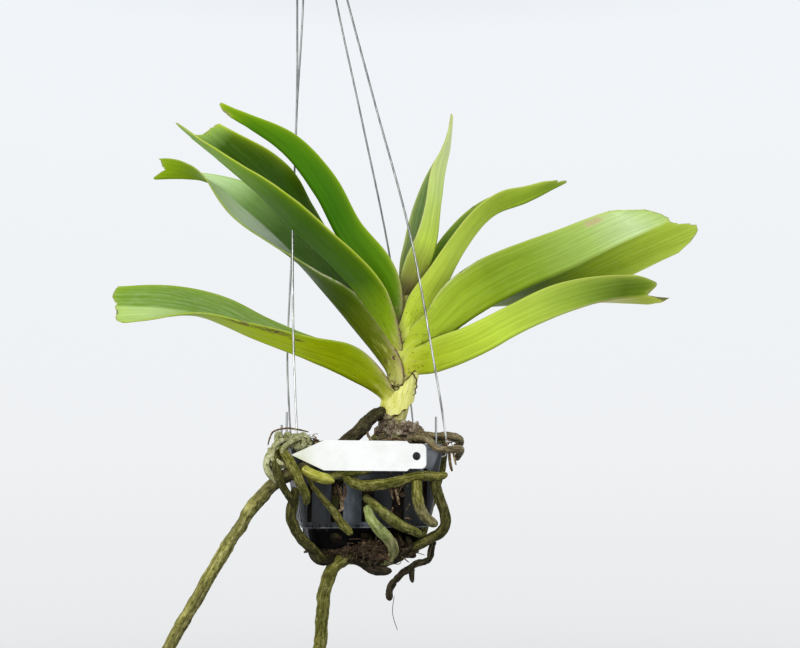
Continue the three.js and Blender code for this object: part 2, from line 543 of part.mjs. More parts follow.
function wireSolid({ sx, sy, outside, bows, inward, end }, grow = 0) {
  const inner = WALL_TOP_HALF - WALL - 1 - GAP - WIRE_RADIUS;
  const outer = RIM_HALF + GAP + WIRE_RADIUS;
  const [nearX, farX] = outside ? [outer, inner] : [inner, outer];
  const y = sy * WIRE_HOLE_Y;
  const passZ = WIRE_HOLE_Z + 0.55 * WIRE_HOLE_RADIUS - GAP - WIRE_RADIUS;
  const rise = potPoint(sx * nearX, y, 2);
  const top = SHANK_BOTTOM.clone().add(new THREE.Vector3(sx * 1.1, sy * 1.1, -0.1 - GAP));
  const points = [potPoint(sx * farX, y, end), potPoint(sx * farX, y, 4), potPoint(sx * farX, y, passZ + 2.6),
    potPoint(sx * lerp(farX, nearX, 0.18), y, passZ + 0.5), potPoint((sx * (farX + nearX)) / 2, y, passZ),
    potPoint(sx * lerp(farX, nearX, 0.82), y, passZ + 0.5), potPoint(sx * nearX, y, passZ + 2.6), rise];
  WIRE_BOWS_AT.forEach((at, i) => {
    const bow = new THREE.Vector3(bows[i], inward * Math.sin(Math.PI * at), 0);
    points.push(rise.clone().lerp(top, at).add(bow));
  });
  points.push(top);
  const curve = new THREE.CatmullRomCurve3(points, false, 'centripetal');
  const path = [];
  const pieces = points.length - 1;
  for (let i = 0; i < pieces; i += 1) {
    const parts = i < 7 ? 1 : 2;
    for (let k = 0; k < parts; k += 1) path.push(curve.getPoint((i + k / parts) / pieces));
  }
  path.push(top);
  return polyTube(path, WIRE_RADIUS + grow, 6);
}

// A tube with one ring at each given point, for a route whose bends are much shorter than its length.
function polyTube(path, radius, sides) {
  const rings = [];
  let normal = Math.abs(path[1].clone().sub(path[0]).normalize().y) < 0.9
    ? new THREE.Vector3(0, 1, 0) : new THREE.Vector3(1, 0, 0);
  path.forEach((centre, i) => {
    const before = path[Math.max(i - 1, 0)];
    const after = path[Math.min(i + 1, path.length - 1)];
    const tangent = after.clone().sub(before).normalize();
    normal = normal.clone().addScaledVector(tangent, -normal.dot(tangent)).normalize();
    const side = tangent.clone().cross(normal);
    const ring = [];
    for (let k = 0; k < sides; k += 1) {
      const angle = (k / sides) * Math.PI * 2;
      ring.push(centre.clone().addScaledVector(normal, radius * Math.cos(angle))
        .addScaledVector(side, radius * Math.sin(angle)));
    }
    rings.push(ring);
  });
  return toSolid(outward(skin(rings)));
}

// Name tag: a pointed strip with a narrower, rounded tab that has a hole.
function tagGeometry() {
  const outline = new THREE.Shape();
  const half = TAG_WIDTH / 2;
  const tab = TAG_TAB_WIDTH / 2;
  const bodyEnd = TAG_LENGTH - TAG_TAB_LENGTH;
  outline.moveTo(0, 0);
  outline.lineTo(TAG_POINT_LENGTH, -half);
  outline.lineTo(bodyEnd, -half);
  outline.lineTo(bodyEnd + TAG_SHOULDER, -tab);
  outline.lineTo(TAG_LENGTH - TAG_CORNER, -tab);
  outline.absarc(TAG_LENGTH - TAG_CORNER, TAG_CORNER - tab, TAG_CORNER, -Math.PI / 2, 0, false);
  outline.absarc(TAG_LENGTH - TAG_CORNER, tab - TAG_CORNER, TAG_CORNER, 0, Math.PI / 2, false);
  outline.lineTo(bodyEnd + TAG_SHOULDER, tab);
  outline.lineTo(bodyEnd, half);
  outline.lineTo(TAG_POINT_LENGTH, half);
  const hole = new THREE.Path();
  hole.absarc(TAG_LENGTH - TAG_TAB_LENGTH / 2, 0, TAG_HOLE_RADIUS, 0, Math.PI * 2, true);
  outline.holes.push(hole);
  const plate = new THREE.ExtrudeGeometry(outline,
    { depth: TAG_THICKNESS, bevelEnabled: false, curveSegments: 4 });
  plate.rotateX(Math.PI / 2);
  plate.rotateX(TAG_LEAN);
  plate.rotateY(TAG_TILT);
  plate.rotateZ(POT_YAW);
  plate.translate(TAG_POINT.x, TAG_POINT.y, TAG_POINT.z);
  return plate;
}

// A torn, dried leaf base that wraps the front of the stem below the leaves.
function sheathSolid() {
  const rings = [];
  const rows = 6;
  const columns = 10;
  for (let r = 0; r <= rows; r += 1) {
    const outer = [];
    const inner = [];
    for (let c = 0; c <= columns; c += 1) {
      const across = c / columns;
      const angle = degToRad(lerp(-172, 12, across));
      const slant = lerp(SHEATH_TOP_LEFT, SHEATH_TOP_RIGHT, smoothstep(across, 0.1, 0.8));
      const top = slant + Math.sin(7 * across);
      const low = SHEATH_LOW + 1.6 * Math.sin(9 * across + 1) + 9 * across ** 3;
      const z = lerp(low, top, r / rows);
      const up = (z - STEM_AXIS[0][2]) / (STEM_AXIS[2][2] - STEM_AXIS[0][2]);
      const axisX = lerp(STEM_AXIS[0][0], STEM_AXIS[2][0], up);
      const flare = 1.7 + 0.9 * (r / rows) ** 2 * across + 0.6 * (1 - r / rows);
      for (const [list, extra] of [[outer, SHEATH_THICKNESS], [inner, 0]]) {
        const radius = STEM_RADIUS + flare + extra;
        list.push(new THREE.Vector3(axisX + radius * Math.cos(angle), radius * Math.sin(angle), z));
      }
    }
    rings.push([...outer, ...inner.reverse()]);
  }
  return toSolid(outward(skin(rings, true)));
}

function lump(radius, scale, at, detail, seed) {
  const geometry = new THREE.IcosahedronGeometry(radius, detail);
  geometry.deleteAttribute('normal');
  geometry.deleteAttribute('uv');
  const merged = mergeVertices(geometry, 1e-3);
  const next = random(seed);
  const p = merged.attributes.position;
  for (let i = 0; i < p.count; i += 1) {
    const swell = 0.86 + 0.28 * next();
    p.setXYZ(i, p.getX(i) * swell * scale[0], p.getY(i) * swell * scale[1], p.getZ(i) * swell * scale[2]);
  }
  merged.translate(at[0], at[1], at[2]);
  return merged;
}

function chipSolid({ at, size, turn }, seed) {
  const chip = lump(1, size, [0, 0, 0], 1, seed);
  chip.rotateZ(turn);
  chip.translate(at[0], at[1], at[2]);
  return toSolid(chip);
}

// Pale knobby root ends packed over the left corner of the rim.
function knobsSolid() {
  const next = random(77);
  let knobs = toSolid(lump(7, [1.1, 0.8, 1], [-50, -50, -8], 1, 5));
  for (let i = 0; i < KNOB_COUNT; i += 1) {
    const along = i / (KNOB_COUNT - 1);
    const onRim = smoothstep(along, 0.45, 0.7);
    const x = lerp(KNOBS_LEFT, KNOBS_RIGHT, along) + 2 * next();
    const y = lerp(-50, -49, onRim) - 3 * next() - 3 * Math.sin(Math.PI * along);
    const z = lerp(-1 - 14 * next(), 1.5 - 3 * next(), onRim);
    knobs = knobs.add(toSolid(lump(3.4 + next(), [1, 1, 0.9], [x, y, z], 0, 11 + i)));
  }
  return largest(knobs);
}

// Brown fibre that hangs out of the foot of the basket between the roots.
function clumpSolid() {
  return FIBRE_LUMPS.reduce(
    (solid, { at, radius }, i) => solid.add(toSolid(lump(radius, [1.2, 0.8, 0.8], at, 1, 91 + i))),
    toSolid(lump(6, [1.2, 0.9, 0.8], FIBRE_CENTRE, 1, 90)),
  );
}

const group = new THREE.Group();
const placed = [];

function addPart(name, solid, colour, roughness = 0.6, metalness = 0) {
  const material = new THREE.MeshStandardMaterial({ color: colour, roughness, metalness });
  const mesh = new THREE.Mesh(toGeometry(solid), material);
  mesh.name = name;
  group.add(mesh);
}

// Cuts a solid clear of what is already there, then keeps a grown copy of it for the next ones.
function settle(solid, grown) {
  const cut = placed.length ? largest(solid.subtract(wasm.Manifold.union(placed))) : solid;
  placed.push(grown);
  return cut;
}

// Hanger
addPart('hanger_hook', settle(toSolid(hookSolid()), toSolid(hookSolid())), COLOURS.steel, 0.35, 0.9);
addPart('hanger_wrap', toSolid(wrapSolid()), COLOURS.steel, 0.35, 0.9);
for (const wire of WIRES) {
  addPart(wire.name, settle(wireSolid(wire), wireSolid(wire, GAP)), COLOURS.steel, 0.35, 0.9);
}

// Basket
const basket = basketSolid();
addPart('basket', basket, COLOURS.basket, 0.55);
const basketHull = profileSolid([[TIER_LOW_HALF + GAP, FLOOR_Z - GAP], [TIER_TOP_HALF + GAP, STEP_Z],
  [WALL_LOW_HALF + GAP, STEP_Z + 0.3], [WALL_TOP_HALF + GAP, -RIM_HEIGHT - 0.7],
  [RIM_HALF + GAP, -RIM_HEIGHT - GAP],
  [RIM_HALF + GAP, GAP]]);
const basketInside = profileSolid([[TIER_LOW_HALF - WALL - GAP, FLOOR_Z + WALL + GAP],
  [TIER_TOP_HALF - WALL - GAP, STEP_Z + 1 + WALL], [WALL_LOW_HALF - WALL - GAP, STEP_Z + 1.2 + WALL],
  [WALL_TOP_HALF - WALL - GAP, 2]], CORNER_RADIUS - WALL);
placed.push(basketHull.subtract(basketInside));

// Stem, rootstock and the medium around its foot
const stemPoints = STEM_AXIS.map(vec);
const stemRadius = (grow) => (at) => STEM_RADIUS * lerp(1, 0.62, at ** 1.5) + grow;
const stemTube = (grow) => toSolid(tube(stemPoints, stemRadius(grow), 12, 8));
addPart('stem', settle(stemTube(0), stemTube(GAP)), COLOURS.stem, 0.55);
const rootstockPoints = ROOTSTOCK_AXIS.map(vec);
const rootstockRadius = (grow) => (at) => ROOTSTOCK_RADIUS * (1 + 0.12 * Math.sin(9 * at)) + grow;
const rootstockSolid = (grow) => ROOTSTOCK_LUMPS.reduce(
  (solid, { at, radius }, i) => solid.add(toSolid(lump(radius + grow, [1, 1, 0.85], at, 1, 51 + i))),
  toSolid(tube(rootstockPoints, rootstockRadius(grow), 10, 8, 0.12)),
);
addPart('rootstock', settle(rootstockSolid(0), rootstockSolid(GAP)), COLOURS.wood, 0.9);
addPart('dry_sheath', settle(sheathSolid(), sheathSolid()), COLOURS.sheath, 0.7);

// Leaves. Each is also cut by the leaf below it, whose clasping base can reach past its grown copy.
let leafBelow = null;
for (const leaf of LEAVES) {
  leaf.keelCurve = new THREE.CatmullRomCurve3(leaf.rows.map(vec), false, 'catmullrom', 0.5);
  const folds = leaf.rows.map((row) => new THREE.Vector3(row[3], row[4], 0));
  leaf.foldCurve = new THREE.CatmullRomCurve3(folds, false, 'catmullrom', 0.5);
  const colour = leaf.side < 0 ? COLOURS.leafLeft : COLOURS.leafRight;
  const settled = settle(leafSolid(leaf), leafSolid(leaf, GAP));
  const blade = leafBelow ? largest(settled.subtract(leafBelow)) : settled;
  addPart(leaf.name, blade, colour, 0.45);
  leafBelow = blade;
}

// Tag, roots and what lies on the medium
const tag = toSolid(tagGeometry());
addPart('name_tag', tag, COLOURS.tag, 0.5);
placed.push(tag.translate([0, 0.35, 0]), tag.translate([0, -0.35, 0]), tag);
ROOTS.forEach((root) => {
  const colour = root.name === 'root_dry_tip' ? COLOURS.dryRoot : COLOURS.root;
  addPart(root.name, settle(rootSolid(root), rootSolid(root, GAP)), colour, 0.75);
});
addPart('root_knobs_left', settle(knobsSolid(), knobsSolid()), COLOURS.knobs, 0.85);
addPart('fibre_clump', settle(clumpSolid(), clumpSolid()), COLOURS.mix, 0.95);
const fill = fillSolid();
addPart('potting_mix', settle(fill, fill.translate([0, 0, GAP])), COLOURS.mix, 0.95);
BARK_CHIPS.forEach((chip, i) => {
  const solid = chipSolid(chip, 31 + i);
  addPart(chip.name, settle(solid, solid), COLOURS.bark, 0.9);
});

// The hanging point inside the top of the hook is the origin.
const hangingHeight = HOOK_CENTRE_HEIGHT + HOOK_RADIUS - HOOK_WIRE_RADIUS;
const hangingPoint = SHANK_BOTTOM.clone().addScaledVector(UP, hangingHeight);
group.position.copy(hangingPoint).negate();

const part = new THREE.Group();
part.add(group);
part.updateMatrixWorld(true);
export default part;
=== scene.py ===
# A foxtail orchid without flowers in a hanging slotted basket, dressed for rendering.
# The frame's metres come from a layout in millimetres whose origin is the middle of the basket's rim.
import math

import bmesh
import bpy
import numpy as np
from mathutils import Matrix, Vector


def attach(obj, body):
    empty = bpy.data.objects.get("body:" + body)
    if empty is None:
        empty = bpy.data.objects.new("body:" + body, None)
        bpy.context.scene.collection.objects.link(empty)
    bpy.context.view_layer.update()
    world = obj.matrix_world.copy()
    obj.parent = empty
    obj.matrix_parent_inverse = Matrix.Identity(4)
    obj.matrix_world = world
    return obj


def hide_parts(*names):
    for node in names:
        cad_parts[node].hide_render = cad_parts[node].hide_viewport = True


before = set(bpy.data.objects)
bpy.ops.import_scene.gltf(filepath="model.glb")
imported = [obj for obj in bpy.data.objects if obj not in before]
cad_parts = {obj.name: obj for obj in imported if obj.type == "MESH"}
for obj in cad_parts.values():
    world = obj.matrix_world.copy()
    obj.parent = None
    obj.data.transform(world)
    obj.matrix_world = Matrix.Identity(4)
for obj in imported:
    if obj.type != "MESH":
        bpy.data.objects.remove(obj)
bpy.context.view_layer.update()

# The hanging point inside the top of the hook, in the layout's millimetres
HANGING_POINT = np.array([-47.6, 0.0, 492.6])
MM = 0.001

# Leaves: side, half width of the clasping base, half width of the blade, how much it narrows, and for
# each half how far along its notch, lobe and margin reach. Each row is a point of the keel and the fold
# of the front and of the back half there, in degrees up from flat.
LEAVES = {
    "leaf_left_1": dict(
        side=-1, sheath=9.5, half_width=20, taper=0.25,
        front_tip=(0.98, 0.965, 0.94), back_tip=(0.98, 1, 0.995),
        rows=[[7.5, -1, 23, 52, 52], [6.5, -2, 30, 55, 54], [-12, -8, 41, 70, 62], [-39, -12, 53, 35, 45],
              [-70, -11, 65, 18, 50], [-101, -8, 78, -4, 62], [-131, -4, 84, -38, 75],
              [-163, 0, 86, -62, 70]]),
    "leaf_right_1": dict(
        side=1, sheath=14.2, half_width=20, taper=0.35,
        front_tip=(0.95, 0.98, 0.92), back_tip=(0.95, 1, 0.96),
        rows=[[26, -1, 36, 52, 52], [27.5, -2, 43, 78, 54], [43, -6, 46, 90, 54], [68, -3, 56, 104, 44],
              [97, 3, 72, 112, 36], [127, 9, 85, 90, 30], [155, 14, 93, 84, 3], [190, 18, 97, 100, -25]]),
    "leaf_left_2": dict(
        side=-1, sheath=12, half_width=20, taper=0.36,
        front_tip=(0.965, 0.945, 0.955), back_tip=(0.965, 0.95, 0.93),
        rows=[[10.5, -1, 36, 52, 52], [10, -1, 47, 55, 54], [-13, 0, 77, 50, 66], [-33, 6, 101, 14, 70],
              [-54, 14, 125, -12, 80], [-82, 22, 152, -28, 85], [-111, 30, 175, 5, 36],
              [-157, 37, 178, 105, 45]]),
    "leaf_right_2": dict(
        side=1, sheath=13.4, half_width=29, taper=0.22,
        front_tip=(0.955, 0.94, 0.86), back_tip=(0.955, 1, 0.955),
        rows=[[27.5, 0, 44, 52, 52], [28.5, -1, 54, 62, 54], [43, 3, 65, 43, 44], [68, 8, 83, 68, 24],
              [98, 16, 100, 92, -8], [132, 24, 116, 98, -44], [168, 31, 134.5, 104, -62],
              [214, 38, 155.5, 128, -72]]),
    "leaf_left_3": dict(
        side=-1, sheath=9, half_width=29, taper=0.5,
        front_tip=(0.95, 1, 0.93), back_tip=(0.95, 0.93, 0.915),
        rows=[[12, -1, 50, 52, 52], [12, -2, 60, 26, 54], [-3, -14, 87, 17, 40], [-23, -30, 108, 16, 32],
              [-45, -42, 127, 17, 50], [-64, -51, 145, 11, 76], [-85, -59, 162, 2, 100],
              [-109, -64, 181, -2, 80]]),
    "leaf_right_3": dict(
        side=1, sheath=15.5, half_width=18, taper=0.62,
        front_tip=(1, 0.965, 0.92), back_tip=(1, 0.96, 0.92),
        rows=[[28.5, -2, 56, 52, 52], [29.5, -4, 67, 67, 54], [36, 1, 80, 78, 66], [47, 9, 101, 55, 72],
              [60, 14, 126, 36, 62], [78, 18, 148, 34, 58], [102, 22, 159, 62, 78],
              [128.5, 26, 173.5, 30, 40]]),
    "leaf_left_4": dict(
        side=-1, sheath=8, half_width=17.5, taper=0.72,
        front_tip=(0.93, 0.98, 0.985), back_tip=(0.93, 0.97, 0.97),
        rows=[[11.5, -1, 64, 52, 52], [11.5, -2, 74, 36, 54], [3, -14, 97, 66, 58],
              [-16.5, -28, 121, 98, 54], [-31, -39, 147, 104, 50], [-48.5, -47, 169, 106, 48],
              [-69, -54, 183, 108, 44], [-90, -60, 194, 110, 40]]),
    "leaf_right_4": dict(
        side=1, sheath=11, half_width=19.5, taper=0.88, up=(-1, 0, 0.1),
        front_tip=(0.99, 1, 0.95), back_tip=(0.99, 0.995, 0.95),
        rows=[[29, 3, 72, 60, 52], [29.5, 2.5, 83, 84, 55], [34, 2.5, 103, 56, 68], [40, 2, 125, 37, 80],
              [43, 3, 148, 26, 60], [46, 4, 171, 27, 46], [50, 5, 191, 22, 36], [52, 6, 212, 18, 15]]),
}
BASE_CUP = 40
BLADE_CUP = 7
KEEL_THICKNESS = 2.6
MARGIN_THICKNESS = 1.1
TIP_THICKNESS = 0.7
KEEL_HALF_WIDTH = 1.2
KEEL_GROOVE = 0.25
KEEL_RIDGE = 0.5
WAVE_HEIGHT = 0.8
DENT_DEPTH = 0.12
LEAF_STATIONS = 190
LEAF_COLUMNS = 65

# Tones of each leaf. A stop is the way along the leaf and a red, green and blue in 0 to 255. The outer
# face is the lower one. The tones are the leaf's own colour with painted light and shade on it: faces in
# shade are painted darker and lit ones paler. outer_back and inner_front are for the halves that differ
# from their face, mostly by painted light and shade.
LEAF_LOOKS = {
    "leaf_left_1": dict(
        outer=[(0, 222, 224, 104), (0.1, 198, 206, 60), (0.18, 152, 164, 8), (0.3, 138, 156, 0),
               (0.45, 174, 192, 4), (0.6, 174, 194, 10), (0.75, 150, 174, 18), (1, 154, 188, 56)],
        inner=[(0, 110, 140, 50), (0.3, 112, 140, 56), (0.55, 130, 158, 76), (0.8, 112, 144, 58),
               (1, 122, 158, 52)],
        inner_front=[(0, 120, 150, 40), (0.6, 140, 170, 60), (0.85, 188, 214, 132), (1, 182, 212, 116)],
        margin=(158, 190, 20), silver=0.2, foot=(232, 230, 110)),
    "leaf_left_2": dict(
        outer=[(0, 212, 208, 104), (0.1, 172, 176, 46), (0.2, 104, 116, 8), (0.32, 62, 82, 4),
               (0.6, 70, 96, 14), (0.85, 114, 146, 4), (1, 130, 160, 8)],
        inner=[(0, 60, 90, 20), (0.3, 84, 112, 56), (0.5, 72, 102, 40), (0.62, 66, 98, 32),
               (0.72, 106, 140, 68), (0.82, 176, 208, 138), (0.88, 196, 226, 156), (1, 136, 164, 50)],
        inner_front=[(0, 60, 90, 20), (0.35, 84, 112, 64), (0.62, 174, 188, 166), (0.85, 140, 170, 90),
                     (1, 130, 160, 10)],
        margin=(144, 178, 20), silver=0.04),
    # left_3: the inner face is painted dark as the shade under left_4, and the outer face paler as lit from
    # the front.
    "leaf_left_3": dict(
        outer=[(0, 222, 226, 116), (0.12, 206, 218, 66), (0.22, 146, 180, 20), (0.36, 72, 114, 0),
               (0.55, 60, 100, 0), (0.68, 72, 114, 0), (0.8, 114, 158, 8), (1, 140, 178, 60)],
        inner=[(0, 50, 80, 10), (0.45, 60, 98, 4), (0.7, 44, 80, 2), (0.88, 58, 92, 8),
               (0.98, 134, 168, 80)],
        margin=(186, 214, 24), silver=0.02, silver_out=0),
    "leaf_left_4": dict(
        outer=[(0, 206, 210, 110), (0.1, 160, 184, 50), (0.2, 96, 142, 10), (0.5, 58, 114, 0),
               (0.85, 72, 122, 0), (1, 112, 152, 12)],
        inner=[(0, 60, 90, 10), (0.5, 52, 98, 6), (1, 80, 130, 10)],
        margin=(180, 210, 30), silver=0.02, silver_out=0),
    "leaf_right_1": dict(
        outer=[(0, 240, 240, 116), (0.12, 206, 216, 60), (0.22, 172, 188, 30), (0.38, 172, 194, 48),
               (0.5, 186, 210, 66), (0.64, 166, 190, 66), (0.78, 122, 148, 44), (0.9, 78, 102, 8),
               (1, 92, 118, 12)],
        outer_back=[(0, 200, 208, 90), (0.5, 140, 160, 50), (0.8, 214, 200, 150), (0.95, 170, 184, 60),
                    (1, 190, 200, 70)],
        inner=[(0, 150, 170, 60), (0.5, 130, 158, 60), (0.8, 156, 176, 70), (1, 206, 214, 110)],
        margin=(206, 220, 100), silver=0.15, foot=(240, 238, 120)),
    "leaf_right_2": dict(
        outer=[(0, 224, 228, 100), (0.15, 200, 218, 50), (0.32, 178, 204, 50), (0.5, 130, 156, 24),
               (0.62, 132, 160, 40), (0.78, 164, 192, 94), (0.9, 202, 224, 160), (1, 176, 204, 110)],
        outer_back=[(0, 160, 175, 50), (0.4, 80, 100, 6), (0.6, 94, 116, 16), (0.8, 128, 150, 30),
                    (0.92, 156, 178, 50), (1, 166, 190, 60)],
        inner=[(0, 120, 140, 40), (0.4, 62, 84, 14), (0.6, 80, 104, 20), (1, 140, 170, 70)],
        margin=(196, 216, 96), silver=0.1, silver_out=0.05, scar=(206, 178, 140)),
    "leaf_right_3": dict(
        outer=[(0, 212, 218, 104), (0.2, 218, 238, 66), (0.5, 206, 230, 84), (0.8, 144, 170, 40),
               (1, 116, 146, 34)],
        inner=[(0, 78, 100, 26), (0.5, 80, 114, 28), (1, 98, 130, 34)],
        margin=(196, 214, 84), silver=0.1),
    "leaf_right_4": dict(
        outer=[(0, 84, 62, 52), (0.14, 96, 76, 54), (0.24, 116, 106, 58), (0.33, 156, 168, 62),
               (0.43, 204, 230, 84), (0.62, 214, 236, 126), (0.85, 214, 228, 160), (1, 225, 235, 170)],
        inner=[(0, 84, 84, 60), (0.3, 92, 112, 66), (0.6, 97, 125, 65), (1, 110, 138, 68)],
        margin=(208, 224, 120), silver=0.12, foot=(128, 102, 84), streaks=0.85),
}

# Old scars: place along and across the leaf, and their size along and across
SCARS = {
    "leaf_right_2": [(0.815, -0.84, 0.024, 0.11)],
    "leaf_left_1": [(0.6, -0.9, 0.05, 0.1), (0.52, -0.86, 0.05, 0.12), (0.46, -0.72, 0.02, 0.06)],
    "leaf_right_3": [(0.55, 0.98, 0.012, 0.05), (0.7, 0.97, 0.008, 0.05)],
    "leaf_left_2": [(0.1, -0.2, 0.012, 0.14), (0.16, -0.35, 0.01, 0.1), (0.03, -0.8, 0.022, 0.3),
                    (0.06, -0.5, 0.008, 0.2)],
}
# Margins worn pale and dark: place along the front margin, and the length
WORN_MARGINS = {"leaf_right_2": (0.43, 0.065), "leaf_left_2": (0.36, 0.1), "leaf_right_1": (0.27, 0.01)}

# Stem, the torn dry leaf base around it with its curled edge, and the lumpy rootstock below
STEM_AXIS = [[15.5, 0, 15], [18, 0, 25], [20, 0, 38], [21.2, 0, 52], [22.2, 0, 70], [23, 0, 92]]
STEM_RADIUS = 6.2
SHEATH_TOP_LEFT = 29
SHEATH_TOP_RIGHT = 44
SHEATH_LOW = 18
SHEATH_START = -172
SHEATH_SWEEP = 184
SHEATH_ROWS = 70
SHEATH_COLUMNS = 150
TORN_CURL = [[24.6, -9, 43.6], [26.9, -7.2, 42.8], [27.6, -6.4, 41.2], [28.7, -5.4, 39.6], [28.3, -5.6, 37],
             [28.9, -5.2, 35], [27.7, -6.2, 33.4], [28.1, -6, 31.4], [26.4, -7.4, 29.6]]
ROOTSTOCK_AXIS = [[9, -2, -14], [10.5, -2, -2], [12.5, -1, 8], [15, 0, 14.6]]
ROOTSTOCK_RADIUS = 7.4
COLLAR_FLAKES = 26
ROOTSTOCK_LUMPS = [
    ([19, -8, 9], 6), ([26, -9, 8], 6.4), ([31, -12, 4], 5), ([16, -6, 1], 7), ([9, -7, 8], 5),
    ([25, -6, 1], 6), ([11, -6, 16], 3.6),
]

# Root colours in 0 to 255: dark ground, middle tone and pale streaks
OLIVE = ((50, 50, 14), (112, 112, 38), (206, 198, 124))
DARK_OLIVE = ((34, 34, 12), (78, 78, 28), (160, 152, 94))
LIGHT_OLIVE = ((50, 54, 14), (124, 128, 52), (216, 206, 140))
LIGHT_GREEN = ((92, 106, 44), (164, 180, 98), (224, 228, 180))
YELLOW = ((126, 122, 20), (196, 194, 74), (234, 230, 150))
BEIGE = ((84, 78, 38), (166, 156, 104), (230, 220, 184))
WEATHERED = ((92, 88, 32), (178, 174, 88), (232, 224, 160))
SHADED = ((26, 23, 14), (62, 56, 34), (130, 120, 84))
BROWN = ((58, 46, 30), (138, 122, 86), (222, 208, 166))
DARK_BROWN = ((20, 17, 11), (48, 41, 29), (104, 92, 70))
LOOP_BROWN = ((12, 10, 5), (40, 35, 20), (104, 92, 62))
DRY = ((14, 12, 7), (42, 38, 22), (120, 108, 78))

